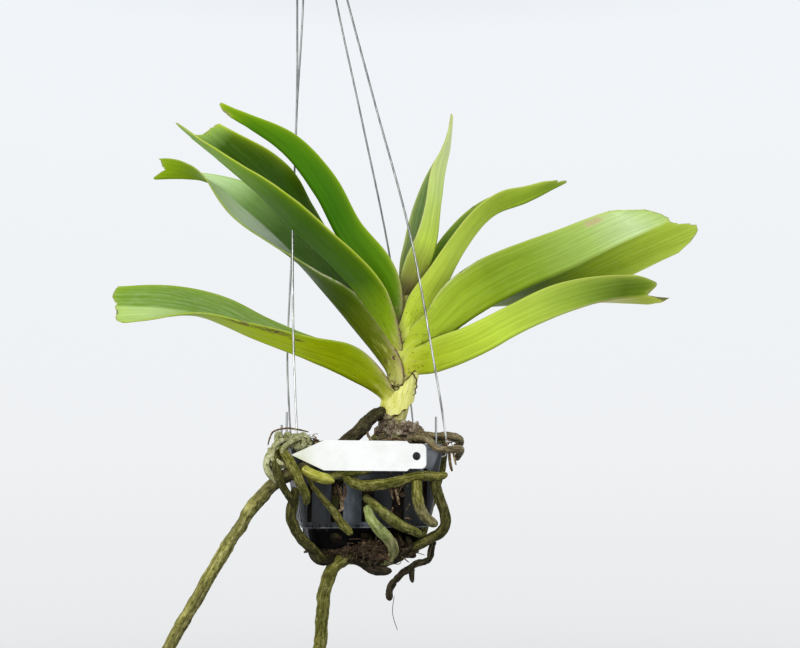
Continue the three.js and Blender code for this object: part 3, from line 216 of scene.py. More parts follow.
# Roots: radius, colours, how deep their furrows are, girths at even steps that scale the radius, and
# points along the middle
ROOTS = {
    "root_long_left": (4.1, SHADED, 1.2, [1, 1],
        [[8, -1, 20], [2, -18, 16], [-4, -38, 8.5], [-15, -53.7, -1.5], [-31, -60, -12], [-47, -60, -19.5],
         [-60, -57, -31], [-74, -55, -52], [-93, -53, -84], [-106, -51, -107], [-116, -49, -128],
         [-124, -46, -152]]),
    "root_front_rail": (3.1, OLIVE, 1.3, [0.85, 1.05, 1.1, 0.95, 1, 0.9],
        [[-12, -56, -17.5], [-8.5, -57, -21], [-2, -56, -23], [6.5, -55, -22.6], [14, -53, -21.2],
         [23, -50.5, -19], [33, -48, -18], [40, -45, -18], [45.5, -42, -17.6]]),
    "root_yellow_stub": (3, YELLOW, 0.6, [0.85, 1.05, 1.05, 0.8],
        [[-34, -66.5, -14], [-29.5, -68, -16.4], [-23.5, -67, -18.9], [-17, -63.5, -21]]),
    "root_front_upper": (2.5, OLIVE, 1.1, [0.8, 1, 1.1, 0.9],
        [[-29.5, -57.8, -16.9], [-21, -58.8, -18.5], [-12, -57.5, -15.6], [-4, -54.5, -15.2],
         [4, -52, -14.6]]),
    "root_left_olive": (3, OLIVE, 1.0, [0.8, 1, 1.1, 1, 0.85],
        [[-47, -57, -2.5], [-43.5, -62, -8], [-38.5, -67.5, -14], [-35.5, -69.5, -20.5], [-33, -66, -27.5],
         [-33, -60, -33]]),
    "root_left_bundle": (2.6, DARK_OLIVE, 1.2, [0.8, 1.1, 1, 1, 0.8],
        [[-51, -56.5, -4], [-49.5, -62.5, -10.5], [-48, -67, -18], [-44, -66.5, -25], [-41, -63, -30],
         [-39.5, -59.5, -34.5]]),
    "root_left_drop": (3.2, DARK_OLIVE, 1.0, [0.8, 1, 1.05, 1, 1.1, 1],
        [[-39, -54, -24.5], [-41, -54, -31], [-42, -54, -39], [-40, -52.5, -46], [-36, -49, -53],
         [-30, -43, -59.5], [-26, -36, -64.5], [-20, -30, -65]]),
    "root_front_left_drop": (2.6, OLIVE, 1.0, [0.5, 0.55, 0.8, 1.05, 1.05],
        [[-30.8, -66.6, -19.2], [-29, -63, -23.6], [-23, -57.5, -31], [-17.5, -55, -38],
         [-13.5, -53.5, -44], [-8, -50.5, -50]]),
    "root_front_mid_drop": (3.1, LIGHT_OLIVE, 1.2, [0.8, 1.05, 1.05, 0.95],
        [[-1, -43, -30], [6, -48.5, -35.5], [13, -48, -41], [20, -44.5, -46], [26, -40, -49],
         [31, -35.5, -51.5]]),
    "root_front_mid_curl": (3.3, LIGHT_GREEN, 0.8, [0.95, 1, 1.05, 1.1, 0.95],
        [[0.5, -46.5, -36], [2.5, -51, -42], [7.5, -50, -48], [13, -45, -54], [14.5, -40, -59],
         [11.5, -34, -65], [3.5, -29.5, -67]]),
    "root_right_drop_inner": (3.4, OLIVE, 1.0, [0.9, 1, 1.05, 1],
        [[27.6, -48.6, -20.5], [28, -49, -24.8], [28.5, -48.5, -31], [30, -46.5, -37], [34, -43, -42],
         [39.5, -38, -45.5]]),
    "root_right_drop_outer": (3.3, DARK_OLIVE, 1.1, [0.85, 1, 1.05, 1, 0.9],
        [[38.4, -44, -20], [39, -44.5, -24.8], [41, -43, -30.5], [43.5, -41, -37.5], [44, -39, -45],
         [40.5, -37, -51], [32.5, -34.5, -55], [24, -31, -60.5], [15.5, -26.5, -65.5]]),
    "root_under_dark": (3, DARK_BROWN, 1.2, [0.9, 1.2, 0.95, 1.15, 1],
        [[-17, -21, -62.8], [-11, -27, -64.5], [-5.5, -31, -66.5], [-0.5, -33, -69], [7, -34, -71],
         [14, -34.5, -71.5]]),
    "root_hanging": (4, OLIVE, 1.1, [0.95, 1, 1, 1.05, 1, 1],
        [[-8.5, -30, -64], [-14, -32, -65.5], [-18.5, -33, -69], [-22, -33, -75], [-25, -32, -86],
         [-26.2, -30, -99], [-27.5, -28, -115], [-30.5, -26, -132], [-32, -24, -150]]),
    "root_under_mid": (3, DARK_BROWN, 1.1, [1, 1.1, 0.9, 1.1],
        [[-20, -27, -63.5], [-10, -24, -66], [4, -22, -69], [14, -19, -67.5], [22, -14, -64]]),
    "root_dry_tip": (2.5, DRY, 3.0, [0.6, 0.85, 0.8, 1.15, 0.85, 1.2, 0.85, 1.1, 0.95, 1.35],
        [[38, -32, -55.5], [36.5, -34, -60], [34, -34, -65], [27.5, -34, -69.5], [20, -34, -72.5],
         [16, -34, -77.5], [12.4, -33, -84], [11.5, -32, -89.5]]),
    "root_top_right": (3, BROWN, 1.4, [1.1, 1, 0.9, 1.05, 0.9],
        [[24, -7, 7], [31, -16, 5.5], [40, -22, 4.6], [49, -21, 4.4], [54, -16, 2.5], [54.5, -9, -2]]),
    "root_rim_right": (2.4, BROWN, 1.3, [1, 1.1, 0.9, 1.1, 1],
        [[24, -18, 2.5], [30, -29, 3.6], [35, -38, 2.6], [39, -43, -2], [46, -42, -3], [52, -36, -3],
         [54, -26, -4.5], [52, -17, -9]]),
    "root_back_rail": (3, OLIVE, 1.1, [0.9, 1.1, 1, 1.05],
        [[32, 48, -10], [10, 50, -16], [-14, 47.5, -19], [-38, 43, -18], [-56, 34, -14]]),
    "root_back_drop": (3.2, OLIVE, 1.0, [1, 1, 0.95, 1.1, 1],
        [[14, 8, 4], [10, 26, 5], [4, 42, 5], [0, 52, 2], [-2, 56, -10], [-4, 54.5, -26], [-6, 46, -44],
         [-9, 38, -60], [-14, 34, -72]]),
    "root_right_side": (2.9, DARK_OLIVE, 1.0, [1, 1.1, 0.95, 1.05],
        [[40, 14, 1], [44, 20, 3.5], [46, 26, -2], [45, 29, -14], [41, 28, -28], [36, 22, -44],
         [30, 12, -60], [23, 4, -66]]),
}
LOW_COLOURS = {"root_long_left": WEATHERED, "root_right_drop_inner": BEIGE, "root_front_mid_curl": BEIGE}
DRY_STUB = [[25.4, -34, -70.6], [25.2, -34.6, -74], [26, -35, -78.4]]
HAIR_ROOT = [[15.2, -32, -86.1], [14.4, -32, -93.5], [15.2, -32, -99.5], [16.9, -32, -104.8]]

# The crust of root ends over the left corner, and the paler ones that curl out of it: radius and path
KNOB_CORE = [[-53, -49, -13], [-51, -49.5, -5], [-46, -49, 0], [-39, -48.5, 0.5], [-32, -48, 0.5]]
KNOB_COUNT = 38
PALE_CURLS = [
    (2.3, [[-49, -55, -1.5], [-53, -59, -5], [-54.6, -61, -10.5], [-53, -62.5, -16], [-48, -63, -21],
           [-43.6, -62, -24.5]]),
    (1.9, [[-44, -52, 2.5], [-49, -56, 0.5], [-51.5, -59.5, -4], [-50, -63, -9], [-45, -66, -12]]),
    (1.7, [[-34, -50, 3], [-39, -54, 2.6], [-44, -58, -0.5], [-46.5, -62, -5.5]]),
]

# Basket
POT_CENTRE = np.array([-6.0, 0.0, 0.0])
POT_YAW = math.radians(9)
RIM_HALF = 45.5
RIM_HEIGHT = 2.6
WALL_TOP_HALF = 44
WALL_LOW_HALF = 37
STEP_Z = -48
TIER_TOP_HALF = 33.5
TIER_LOW_HALF = 32
FLOOR_Z = -59
WALL = 1.6
CORNER_RADIUS = 6
BAND_LOW_Z = -20
SLOT_WIDTH = 7
SLOT_PITCH = 17.5
SIDE_SLIT_WIDTH = 2.6
SIDE_SLIT_X = 33
CUT_WALL = 41
CUT_WALL_DEPTH = 12
CUT_TIER = 33
CUT_TIER_SIZE = 6
FLOOR_SLOT_LENGTH = 44
WIRE_HOLE_RADIUS = 1.9
WIRE_HOLE_Z = -7
WIRE_HOLE_Y = 36
EDGE_BEVEL = 0.3
GAP = 0.3
# Where the front's painted lit panel starts and ends, and from where the painted highlight on its right
# corner starts and is full, in the frame's millimetres
LIT_PANEL = (34.5, 46.0)
CORNER_HIGHLIGHT_X = (76, 79)
CORNER_HIGHLIGHT_Y = (-35.5, -36.6)
CORNER_HIGHLIGHT_Z = (-513, -511.5)

# Hanger: each wire's corner of the basket, whether its long part runs outside, how far it bows to the
# right at shares of its length, how far it bows inward, and its short end
WIRE_BOWS_AT = (0.12, 0.3, 0.5, 0.7, 0.88)
WIRE_RADIUS = 0.65
HOOK_WIRE_RADIUS = 1.4
HOOK_RADIUS = 14
SHANK_BOTTOM = np.array([-47.6, 0.0, 424.0])
SHANK_HEIGHT = 26
HOOK_CENTRE_HEIGHT = 56
WRAP_TURNS = 5
WRAP_PITCH = 2.6
WRAP_START = 3
WIRES = {
    "wire_front_left": (-1, -1, False, (-2.2, -3.2, -1.1, -1.1, -0.5), 3, 18),
    "wire_front_right": (1, -1, True, (3.5, 6.4, 3, 0, -0.5), -1, 16),
    "wire_back_left": (-1, 1, False, (-2.9, -1, 0.8, 4.2, 2), 0, 13),
    "wire_back_right": (1, 1, False, (2.9, 5, 2.5, -0.6, 0), 0, 7),
}

# Tag
TAG_LENGTH = 75
TAG_WIDTH = 16.6
TAG_TAB_WIDTH = 13.8
TAG_TAB_LENGTH = 11
TAG_POINT_LENGTH = 18
TAG_THICKNESS = 0.8
TAG_HOLE_RADIUS = 2.3
TAG_TAB_CORNER = 3.0
TAG_BEVEL = 0.12
TAG_PLACE = (-41, -66, -6.2)
TAG_LEAN = math.radians(-4)
TAG_ROLL = math.radians(0.6)
TAG_BEND = 0.35

# What fills the basket: bark with its place, size and turn; the clump's lumps; old roots in the clump;
# dry bits with their radius and path; and where litter lies, how far it spreads and how much of it
FILL_TOP_Z = -5
FILL_HEAP = 4.6
HEAP_ROWS = 14
FILL_CENTRE_HALF = 3.0
MIX_REACH = 37
MIX_CHIPS = 90
CLUMP_STRANDS = 110
BARK_CHIPS = {
    "bark_chip_1": ([-30, -8, -1.5], [11, 8, 4], 0.4), "bark_chip_2": ([-16, 22, -1], [12, 8, 4.5], 1.3),
    "bark_chip_3": ([22, 26, -1.5], [10, 7, 4], -0.5), "bark_chip_4": ([-8, -32, -2], [9, 6, 3.6], 0.1),
}
CLUMP_LUMPS = [
    ([-26, -27, -59.6], [9, 6, 3.2]), ([6, -36, -60], [8, 5.2, 4.8]), ([-1, -35, -59], [6, 4, 4.4]),
    ([13, -35, -58.5], [7, 4.2, 4.2]), ([-14, -30, -62], [9, 5, 3.6]), ([20, -29, -60.5], [8, 5, 3.6]),
    ([3, -26, -63], [16, 7, 3.4]),
]
OLD_LOOPS = [
    (2.8, [[-33, -32, -56], [-31.6, -34, -59.5], [-30, -36, -63.5], [-26.5, -37, -66], [-21.8, -36, -65.4],
           [-18.6, -32, -61.3]]),
    (2.2, [[-8.9, -30, -61], [-6, -33, -65.5], [0, -35, -67.5], [6, -34, -66], [9, -31, -62]]),
    (2.4, [[8.3, -33, -66.5], [15.2, -35, -64.5], [21, -36, -60.5], [24, -37, -56], [22, -38, -52]]),
    (1.9, [[-4, -31, -62], [-10, -33, -65], [-15, -33, -64.5], [-17, -30, -61]]),
]
DRY_BITS = [
    (0.55, [[-55, -57, -1], [-53.7, -58, 3.4], [-51.4, -60, 6.7], [-44.8, -60, 8.4], [-38.3, -58, 7.8],
            [-32.5, -55, 6.5]]),
    (0.8, [[0, -49, 7], [0.8, -50, 4.2], [3.6, -50, 0.8]]),
    (0.9, [[-16.4, -50, -23.9], [-14.3, -51, -29.2], [-13.7, -50, -35.9], [-16.3, -50, -37.2]]),
    (0.7, [[-12.5, -50, -22], [-12, -51, -28], [-15, -51.5, -33]]),
    (0.8, [[15.2, -48, -22.7], [16.6, -50, -27.9], [18.2, -50, -33.9]]),
    (0.6, [[13.4, -49, -22.7], [13.9, -50, -27.9], [14.8, -50, -31]]),
    (0.9, [[46.6, -40, -4], [47.1, -41, -10.6], [48.2, -41, -15.5]]),
    (0.6, [[48.6, -40, -3], [49.5, -41, -8], [50.5, -41, -12]]),
]
LITTER_SPOTS = [
    ((-31, -52, 3.5), (2.6, 1.6, 1.2), 18), ((-15, -49.5, -27), (1.2, 0.7, 4.6), 10),
    ((17, -47, -26), (2.4, 0.7, 4.4), 12), ((24, -45, -30), (2.2, 0.7, 5.0), 9),
    ((47, -39, -2), (2.4, 1.6, 2.0), 12), ((8, -38, 1), (7, 2, 1.2), 16),
]

# Camera and room: each light's place, power, size and colour, and the sky from straight down to up
CAMERA_PLACE = (18.5, -617, -6.6)
CAMERA_PITCH = 7.5
CAMERA_LENS = 45
FLOOR_DEPTH = 1.6
FLOOR_REACH = 4.2
LIGHTS = [
    ("key", (-0.55, -1.35, 0.2), 10, 0.7, (1.0, 0.99, 0.96)),
    ("fill", (0.9, -0.9, -0.1), 1.5, 1.2, (0.95, 0.98, 1.0)),
    ("top", (0.1, 0.4, 0.75), 3, 0.8, (1.0, 1.0, 1.0)),
]
SKY = [(0.0, 120, 122, 124), (0.34, 200, 202, 204), (0.42, 233, 234, 235), (0.5, 239, 241, 243),
       (0.7, 241, 245, 249), (0.8, 205, 208, 212), (1.0, 165, 168, 172)]


def in_frame(points):
    """Millimetres of the layout as metres of the frame."""
    return (np.asarray(points, float) - HANGING_POINT) * MM


def srgb(colour):
    """A colour of 0 to 255 as the linear colour that a node takes."""
    levels = [channel / 255 for channel in colour]
    return tuple(v / 12.92 if v <= 0.04045 else ((v + 0.055) / 1.055) ** 2.4 for v in levels) + (1.0,)


def smooth(x):
    """A soft step from 0 to 1."""
    x = np.clip(x, 0, 1)
    return x * x * (3 - 2 * x)


def dome(x, least=0.0):
    """The girth of a rounded end, from its tip at 0 to where it is full at 1."""
    return np.sqrt(np.clip(1 - (1 - np.clip(x, 0, 1)) ** 2, least, 1))


def unit(vectors):
    """Each vector at a length of 1."""
    return vectors / np.maximum(np.linalg.norm(vectors, axis=-1, keepdims=True), 1e-9)


def spun(points, turn):
    """Points turned about the vertical."""
    c, s = math.cos(turn), math.sin(turn)
    return np.asarray(points, float) @ np.array([[c, s, 0], [-s, c, 0], [0, 0, 1]])


def pot_points(points):
    """Points in the basket's own turned axes, in the layout's."""
    return spun(points, POT_YAW) + POT_CENTRE


def noise3(points, seed=0):
    """Smooth repeatable unevenness between -1 and 1 at each of an array of points."""
    cell = np.floor(points).astype(np.int64)
    part = points - cell
    part = part * part * part * (part * (part * 6 - 15) + 10)
    total = np.zeros(points.shape[:-1])
    for corner in range(8):
        step = np.array([corner & 1, corner >> 1 & 1, corner >> 2 & 1])
        x, y, z = np.moveaxis(cell + step, -1, 0)
        mixed = (x * 73856093) ^ (y * 19349663) ^ (z * 83492791) ^ (seed * 40503 + 977)
        mixed = (mixed ^ (mixed >> 13)) * 1274126177 & 0x7FFFFFFF
        value = ((mixed ^ (mixed >> 15)) & 0xFFFF) / 32767.5 - 1
        total += np.prod(np.where(step, part, 1 - part), axis=-1) * value
    return total


def noise_at(seed, *place):
    """The same unevenness at places given as x, y and z apart."""
    return noise3(np.stack(np.broadcast_arrays(*place), axis=-1), seed)


def uneven(points, seed=0):
    """Noise with finer and weaker noise on top of it."""
    return sum(noise3(points * 2**k, seed + k) * 0.5**k for k in range(3))


def smooth_curve(points, at):
    """Points of a smooth curve through the given ones; at runs from 0 to 1."""
    p = np.asarray(points, float)
    p = np.vstack([2 * p[0] - p[1], p, 2 * p[-1] - p[-2]])
    pieces = len(p) - 3
    x = np.clip(np.asarray(at, float), 0, 1) * pieces
    i = np.minimum(x.astype(int), pieces - 1)
    t = (x - i)[..., None]
    a, b, c, d = p[i], p[i + 1], p[i + 2], p[i + 3]
    return 0.5 * (2 * b + (c - a) * t + (2 * a - 5 * b + 4 * c - d) * t**2 + (3 * b - 3 * c + d - a) * t**3)


def run_lengths(path):
    """How far along a row of points each of them is."""
    return np.concatenate([[0], np.cumsum(np.linalg.norm(np.diff(path, axis=0), axis=1))])


def even_path(points, step):
    """Evenly spaced points of the smooth curve, and how far along it each one is."""
    dense = smooth_curve(points, np.linspace(0, 1, 60 * len(points)))
    length = run_lengths(dense)
    at = np.linspace(0, length[-1], max(6, math.ceil(length[-1] / step)) + 1)
    return np.stack([np.interp(at, length, dense[:, k]) for k in range(3)], axis=1), at


def ring_frames(centres):
    """Two directions across the path at each of its points, turning as little as they can."""
    tangents = unit(np.gradient(centres, axis=0))
    start = np.array([0.0, 1, 0]) if abs(tangents[0][1]) < 0.9 else np.array([1.0, 0, 0])
    across = [unit(start - tangents[0] * start.dot(tangents[0]))]
    for tangent in tangents[1:]:
        across.append(unit(across[-1] - tangent * across[-1].dot(tangent)))
    across = np.array(across)
    return across, np.cross(tangents, across)


def circle(sides):
    """The angles of the sides of a ring."""
    return np.linspace(0, 2 * math.pi, sides, endpoint=False)


def wrapped(sides, along, girth=1.0):
    """The place on a tube's skin of each point of its rings."""
    angle = circle(sides)
    place = np.broadcast_arrays(np.cos(angle) * girth, np.sin(angle) * girth, along[:, None])
    return np.stack(place, axis=-1)


def ring_faces(rings, sides):
    """Faces between closed rings, and one face over each end."""
    r, k = np.meshgrid(np.arange(rings - 1), np.arange(sides), indexing="ij")
    a = r * sides + k
    b = r * sides + (k + 1) % sides
    quads = np.stack([a, b, b + sides, a + sides], axis=-1).reshape(-1, 4).tolist()
    return quads + [list(range(sides))[::-1], list(range((rings - 1) * sides, rings * sides))]


def wrap_sheet(upper, lower, skip=0):
    """Rings round a sheet from its two faces, without the first and last skip columns of the lower one."""
    return np.concatenate([upper, lower[:, ::-1][:, skip:lower.shape[1] - skip]], axis=1)


class Piece:
    """The points, faces and named values of one visible piece, gathered part by part."""

    def __init__(self):
        self.points, self.faces, self.values, self.count = [], [], [], 0

    def add(self, points, faces, **values):
        """Adds a closed part with its faces turned outward, and a value for each point or for all."""
        points = np.asarray(points, float).reshape(-1, 3)
        corners = np.array([face[:3] for face in faces])
        a, b, c = (points[corners[:, k]] - points.mean(axis=0) for k in range(3))
        turn = -1 if np.sum(a * np.cross(b, c)) < 0 else 1
        self.points.append(points)
        self.faces.extend([tuple(int(k) + self.count for k in face[::turn]) for face in faces])
        self.values.append({key: np.broadcast_to(value, (len(points),) + np.shape(value)[1:])
                            for key, value in values.items()})
        self.count += len(points)

    def add_tube(self, centres, radius, sides, **values):
        """A tube with closed ends; its radius may differ by ring, or by ring and side."""
        across, up = ring_frames(centres)
        angle = circle(sides)[:, None]
        radius = np.asarray(radius, float)
        if radius.ndim < 2:
            radius = np.broadcast_to(radius.reshape(-1, 1), (len(centres), sides))
        offset = across[:, None] * np.cos(angle) + up[:, None] * np.sin(angle)
        self.add(centres[:, None] + offset * radius[..., None], ring_faces(len(centres), sides), **values)

    def add_strand(self, points, radius, **values):
        """A thin thread that tapers to both ends."""
        centres, at = even_path(points, 0.5)
        taper = 0.35 + 0.65 * np.sqrt(np.clip(1 - np.abs(2 * at / at[-1] - 1) ** 3, 0, 1))
        self.add_tube(centres, radius * taper, 8, **values)

    def add_root(self, points, radius, girths, furrow, seed, step=0.7, sides=40, wander=0.35):
        """A living or dried root: an uneven tube with furrows along it that ends in a round tip."""
        centres, at = even_path(points, step)
        length = at[-1]
        sway = np.stack([noise_at(seed + k, at / 9, 3.1 * k, seed) for k in range(3)], 1)
        centres = centres + sway * wander * smooth(at / (4 * radius))[:, None]
        around = wrapped(sides, at / 9)
        swell = 0.1 * noise3(around * [0.7, 0.7, 1.1], seed + 11)
        lumps = 0.085 * noise3(around * [1.8, 1.8, 2.6], seed + 12)
        groove = np.abs(noise3(around * [3.0, 3.0, 0.4], seed + 13)) ** 0.7
        wrinkles = 0.028 * noise3(around * [3, 3, 9], seed + 14)
        slim = np.interp(at / length, np.linspace(0, 1, len(girths)), girths) * (1 - 0.15 * at / length)
        ring = radius * (slim * dome((length - at) / (1.7 * radius), 0.0004))[:, None]
        ring = ring * (1.02 + swell + furrow * (lumps - 0.13 * groove + wrinkles))
        across, up = ring_frames(centres)
        # under is 1 on the root's underside, where the skin paints shade.
        facing_up = across[:, 2:] * np.cos(circle(sides)) + up[:, 2:] * np.sin(circle(sides))
        self.add_tube(centres, ring, sides, wrap=wrapped(sides, at, radius).reshape(-1, 3) + 30.0 * seed,
                      along=np.repeat(at / length, sides), groove=groove.reshape(-1),
                      under=smooth((0.35 - facing_up) / 1.1).reshape(-1))

    def add_lump(self, place, radii, seed, roughness, grain, detail=4, turn=0.0):
        """An uneven ball with three radii, turned about the vertical."""
        points, faces = BALLS[detail]
        shape = 1 + roughness * uneven(points * 1.3 * grain + seed * 7.7, seed)
        self.add(spun(points * shape[:, None] * radii, turn) + place, faces)

    def build(self, name, material, nodes=()):
        """Makes the gathered parts one smooth mesh and dresses it."""
        mesh = bpy.data.meshes.new(name)
        mesh.from_pydata(in_frame(np.vstack(self.points)).tolist(), [], self.faces)
        mesh.update()
        for key in self.values[0]:
            value = np.concatenate([part[key] for part in self.values]).astype(np.float32)
            kind, field = ("FLOAT_VECTOR", "vector") if value.ndim == 2 else ("FLOAT", "value")
            mesh.attributes.new(key, kind, "POINT").data.foreach_set(field, value.ravel())
        mesh.polygons.foreach_set("use_smooth", np.ones(len(mesh.polygons), bool))
        dress(bpy.data.objects.new(name, mesh), material, nodes)


def show(piece):
    """Puts a piece in the scene once."""
    if piece.name not in bpy.context.scene.collection.objects:
        bpy.context.scene.collection.objects.link(piece)
    return piece


def dress(piece, material, nodes=()):
    """Puts a finished piece in the scene with its material, its body and the nodes it stands for."""
    show(piece).data.materials.clear()
    piece.data.materials.append(material)
    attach(piece, "root")
    if nodes:
        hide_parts(*nodes)


def ball(detail):
    """Points and faces of a unit sphere made of small triangles."""
    sphere = bmesh.new()
    bmesh.ops.create_icosphere(sphere, subdivisions=detail, radius=1)
    points = np.array([v.co for v in sphere.verts])
    faces = [[v.index for v in face.verts] for face in sphere.faces]
    sphere.free()
    return points, faces


BALLS = {detail: ball(detail) for detail in (2, 4, 5)}


class Nodes:
    """A node tree, put together node by node."""

    def __init__(self, tree):
        self.tree = tree

    def out(self, kind, output, inputs=(), **settings):
        """Adds a node with its settings and inputs, and gives one of its outputs."""
        node = self.tree.nodes.new(kind)
        for key, value in settings.items():
            setattr(node, key, value)
        for key, value in inputs:
            self.put(node.inputs[key], value)
        return Output(self, node.outputs[output])

    def put(self, socket, value):
        """Sets an input to a number or a colour, or links it to what another node gives."""
        if isinstance(value, Output):
            self.tree.links.new(value.socket, socket)
        else:
            socket.default_value = value

    def part(self, vector, axis):
        """One axis of a vector."""
        return self.out("ShaderNodeSeparateXYZ", axis, [(0, vector)])

    def ramp(self, factor, *stops):
        """A colour by the factor; each stop is its place and its red, green and blue in 0 to 255."""
        colour = self.out("ShaderNodeValToRGB", "Color", [("Fac", factor)])
        elements = colour.socket.node.color_ramp.elements
        for _ in stops[2:]:
            elements.new(0.5)
        for element, (at, *rgb) in zip(elements, stops):
            element.position, element.color = at, srgb(rgb)
        return colour


class Output:
    """What a node gives. Grey outputs add and multiply like numbers."""

    def __init__(self, nodes, socket):
        self.nodes, self.socket = nodes, socket

    def __add__(self, other):
        return self.nodes.out("ShaderNodeMath", 0, [(0, self), (1, other)], operation="ADD")

    def __mul__(self, other):
        return self.nodes.out("ShaderNodeMath", 0, [(0, self), (1, other)], operation="MULTIPLY")

    def span(self, low, high, to_low=0.0, to_high=1.0):
        """A soft step: to_low where this is low, to_high where it is high."""
        inputs = [("Value", self), ("From Min", low), ("From Max", high),
                  ("To Min", to_low), ("To Max", to_high)]
        return self.nodes.out("ShaderNodeMapRange", "Result", inputs, interpolation_type="SMOOTHSTEP")


class Look(Nodes):
    """A material whose colour is painted layer over layer."""

    def __init__(self, name, roughness=0.5, specular=0.5):
        self.material = bpy.data.materials.new(name)
        self.material.use_nodes = True
        super().__init__(self.material.node_tree)
        self.surface = self.tree.nodes["Principled BSDF"].inputs
        self.put(self.surface["Roughness"], roughness)
        self.put(self.surface["Specular IOR Level"], specular)
        self.colour = None

    def value(self, name):
        """A named number that each point of the piece carries."""
        return self.out("ShaderNodeAttribute", "Fac", attribute_name=name)

    def vector(self, name):
        """A named vector that each point of the piece carries."""
        return self.out("ShaderNodeAttribute", "Vector", attribute_name=name)

    def stretch(self, vector, factors):
        return self.out("ShaderNodeVectorMath", 0, [(0, vector), (1, factors)], operation="MULTIPLY")

    def place(self):
        """The place on the piece, in millimetres of the frame."""
        return self.stretch(self.out("ShaderNodeTexCoord", "Object"), (1000, 1000, 1000))

    def noise(self, vector, scale, detail=3.0, roughness=0.5):
        """Cloudy noise; a scale with three numbers differs by axis."""
        if isinstance(scale, tuple):
            vector, scale = self.stretch(vector, scale), 1.0
        inputs = [("Vector", vector), ("Scale", scale), ("Detail", detail), ("Roughness", roughness)]
        return self.out("ShaderNodeTexNoise", "Fac", inputs)

    def specks(self, vector, factors, low, high):
        """Round specks, one in each cell, which are full inside high and gone at low."""
        inputs = [("Vector", self.stretch(vector, factors)), ("Scale", 1)]
        return self.out("ShaderNodeTexVoronoi", "Distance", inputs).span(low, high)

    def mix(self, mask, under, over):
        """The colour under, with a second one over it where the mask is 1."""
        over = over if isinstance(over, Output) else srgb(over)
        return self.out("ShaderNodeMix", 2, [(0, mask), (6, under), (7, over)], data_type="RGBA")

    def paint(self, mask, colour):
        """Lays a colour over what is there, where the mask is 1."""
        self.colour = self.mix(mask, self.colour, colour)

    def shade(self, factor):
        """Multiplies the colour by a grey factor that may be above 1."""
        inputs = [(0, self.colour), ("Scale", factor)]
        self.colour = self.out("ShaderNodeVectorMath", 0, inputs, operation="SCALE")

    def finish(self, roughness=None, height=None, depth=0.1):
        """Links the colour, the roughness and a bump whose height of 1 stands depth millimetres proud."""
        self.put(self.surface["Base Color"], self.colour)
        if roughness:
            self.put(self.surface["Roughness"], roughness)
        if height:
            inputs = [("Height", height), ("Distance", depth * MM), ("Strength", 1.0)]
            self.put(self.surface["Normal"], self.out("ShaderNodeBump", "Normal", inputs))
        return self.material


# Leaves
def leaf_look(name, tones):
    look = Look(name.replace("leaf", "leaf_skin"), specular=0.08)
    skin = look.vector("skin")
    along, is_inner, back = look.value("along"), look.value("inner"), look.value("back_half")
    base, speckled, edge = look.value("base"), look.value("speckled"), look.value("edge")
    look.colour = look.ramp(along, *tones["outer"])
    if "outer_back" in tones:
        look.paint(back, look.ramp(along, *tones["outer_back"]))
    inner = look.ramp(along, *tones["inner"])
    if "inner_front" in tones:
        inner = look.mix(back, look.ramp(along, *tones["inner_front"]), inner)
    look.paint(is_inner, inner)

    stripes = look.noise(skin, (0.75, 0.008, 1), 2, 0.6)
    fine = look.noise(skin, (2.4, 0.03, 1), 2)
    mottle = look.noise(skin, (0.22, 0.05, 1), 5, 0.6)
    bloom = look.noise(skin, (0.9, 0.09, 1), 5, 0.65)
    papery = look.noise(skin, (0.9, 0.25, 1), 4, 0.7)
    cloud = look.noise(skin, (0.3, 0.09, 1), 5, 0.65)
    look.shade((stripes * 0.5 + fine * 0.25 + mottle * 0.25).span(0.34, 0.66, 0.84, 1.16))
    silver = (bloom * 0.6 + stripes * 0.4).span(0.44, 0.64)
    look.paint(silver * is_inner.span(0, 1, tones.get("silver_out", 0.02), tones["silver"]), (200, 220, 180))
    # Painted glow of light through the thin margin, over the margin's own paler yellow-green.
    look.paint(look.value("margin"), tones["margin"])
    look.paint(base, tones.get("foot", (228, 228, 138)))
    look.paint(cloud.span(0.48, 0.66) * speckled.span(0.7, 1) * 0.5, (232, 234, 130))
    look.paint(cloud.span(0.46, 0.34) * speckled * 0.45, (92, 112, 8))

    membrane = (0.25, 196, 176, 140), (0.55, 172, 142, 124), (0.8, 120, 90, 72), (0.95, 58, 38, 24)
    look.paint(edge * papery.span(0.36, 0.56, 0.2, 1.5), look.ramp(edge, *membrane))
    worn_area = look.noise(skin, 0.13, 2).span(0.44, 0.56)
    look.paint(look.specks(skin, (0.42, 0.3, 1), 0.17, 0.09) * worn_area * speckled, (58, 48, 14))
    look.paint(look.noise(skin, (0.5, 0.2, 1), 4, 0.65).span(0.6, 0.68) * base * 0.8, (96, 78, 34))
    big_specks = look.specks(skin, (0.3, 0.2, 1), 0.2, 0.08)
    look.paint(big_specks * speckled * papery.span(0.4, 0.6, 0.1, 0.9), (78, 64, 24))
    streaks = (stripes * 0.6 + fine * 0.4).span(0.5, 0.6)
    look.paint(streaks * speckled.span(0.45, 0.9, 0, tones.get("streaks", 0.22)), (66, 48, 36))
    scar = look.value("scar") * papery.span(0.4, 0.56)
    look.paint(scar, tones.get("scar", (104, 84, 46)))
    frayed = look.ramp(bloom, (0.4, 70, 62, 40), (0.52, 206, 204, 178), (0.65, 236, 236, 220))
    look.paint(look.value("worn") * papery.span(0.38, 0.54), frayed)
    return look.finish(mottle.span(0.3, 0.7, 0.36, 0.5), stripes * 1.2 + fine * 0.9 + scar * -1.5)


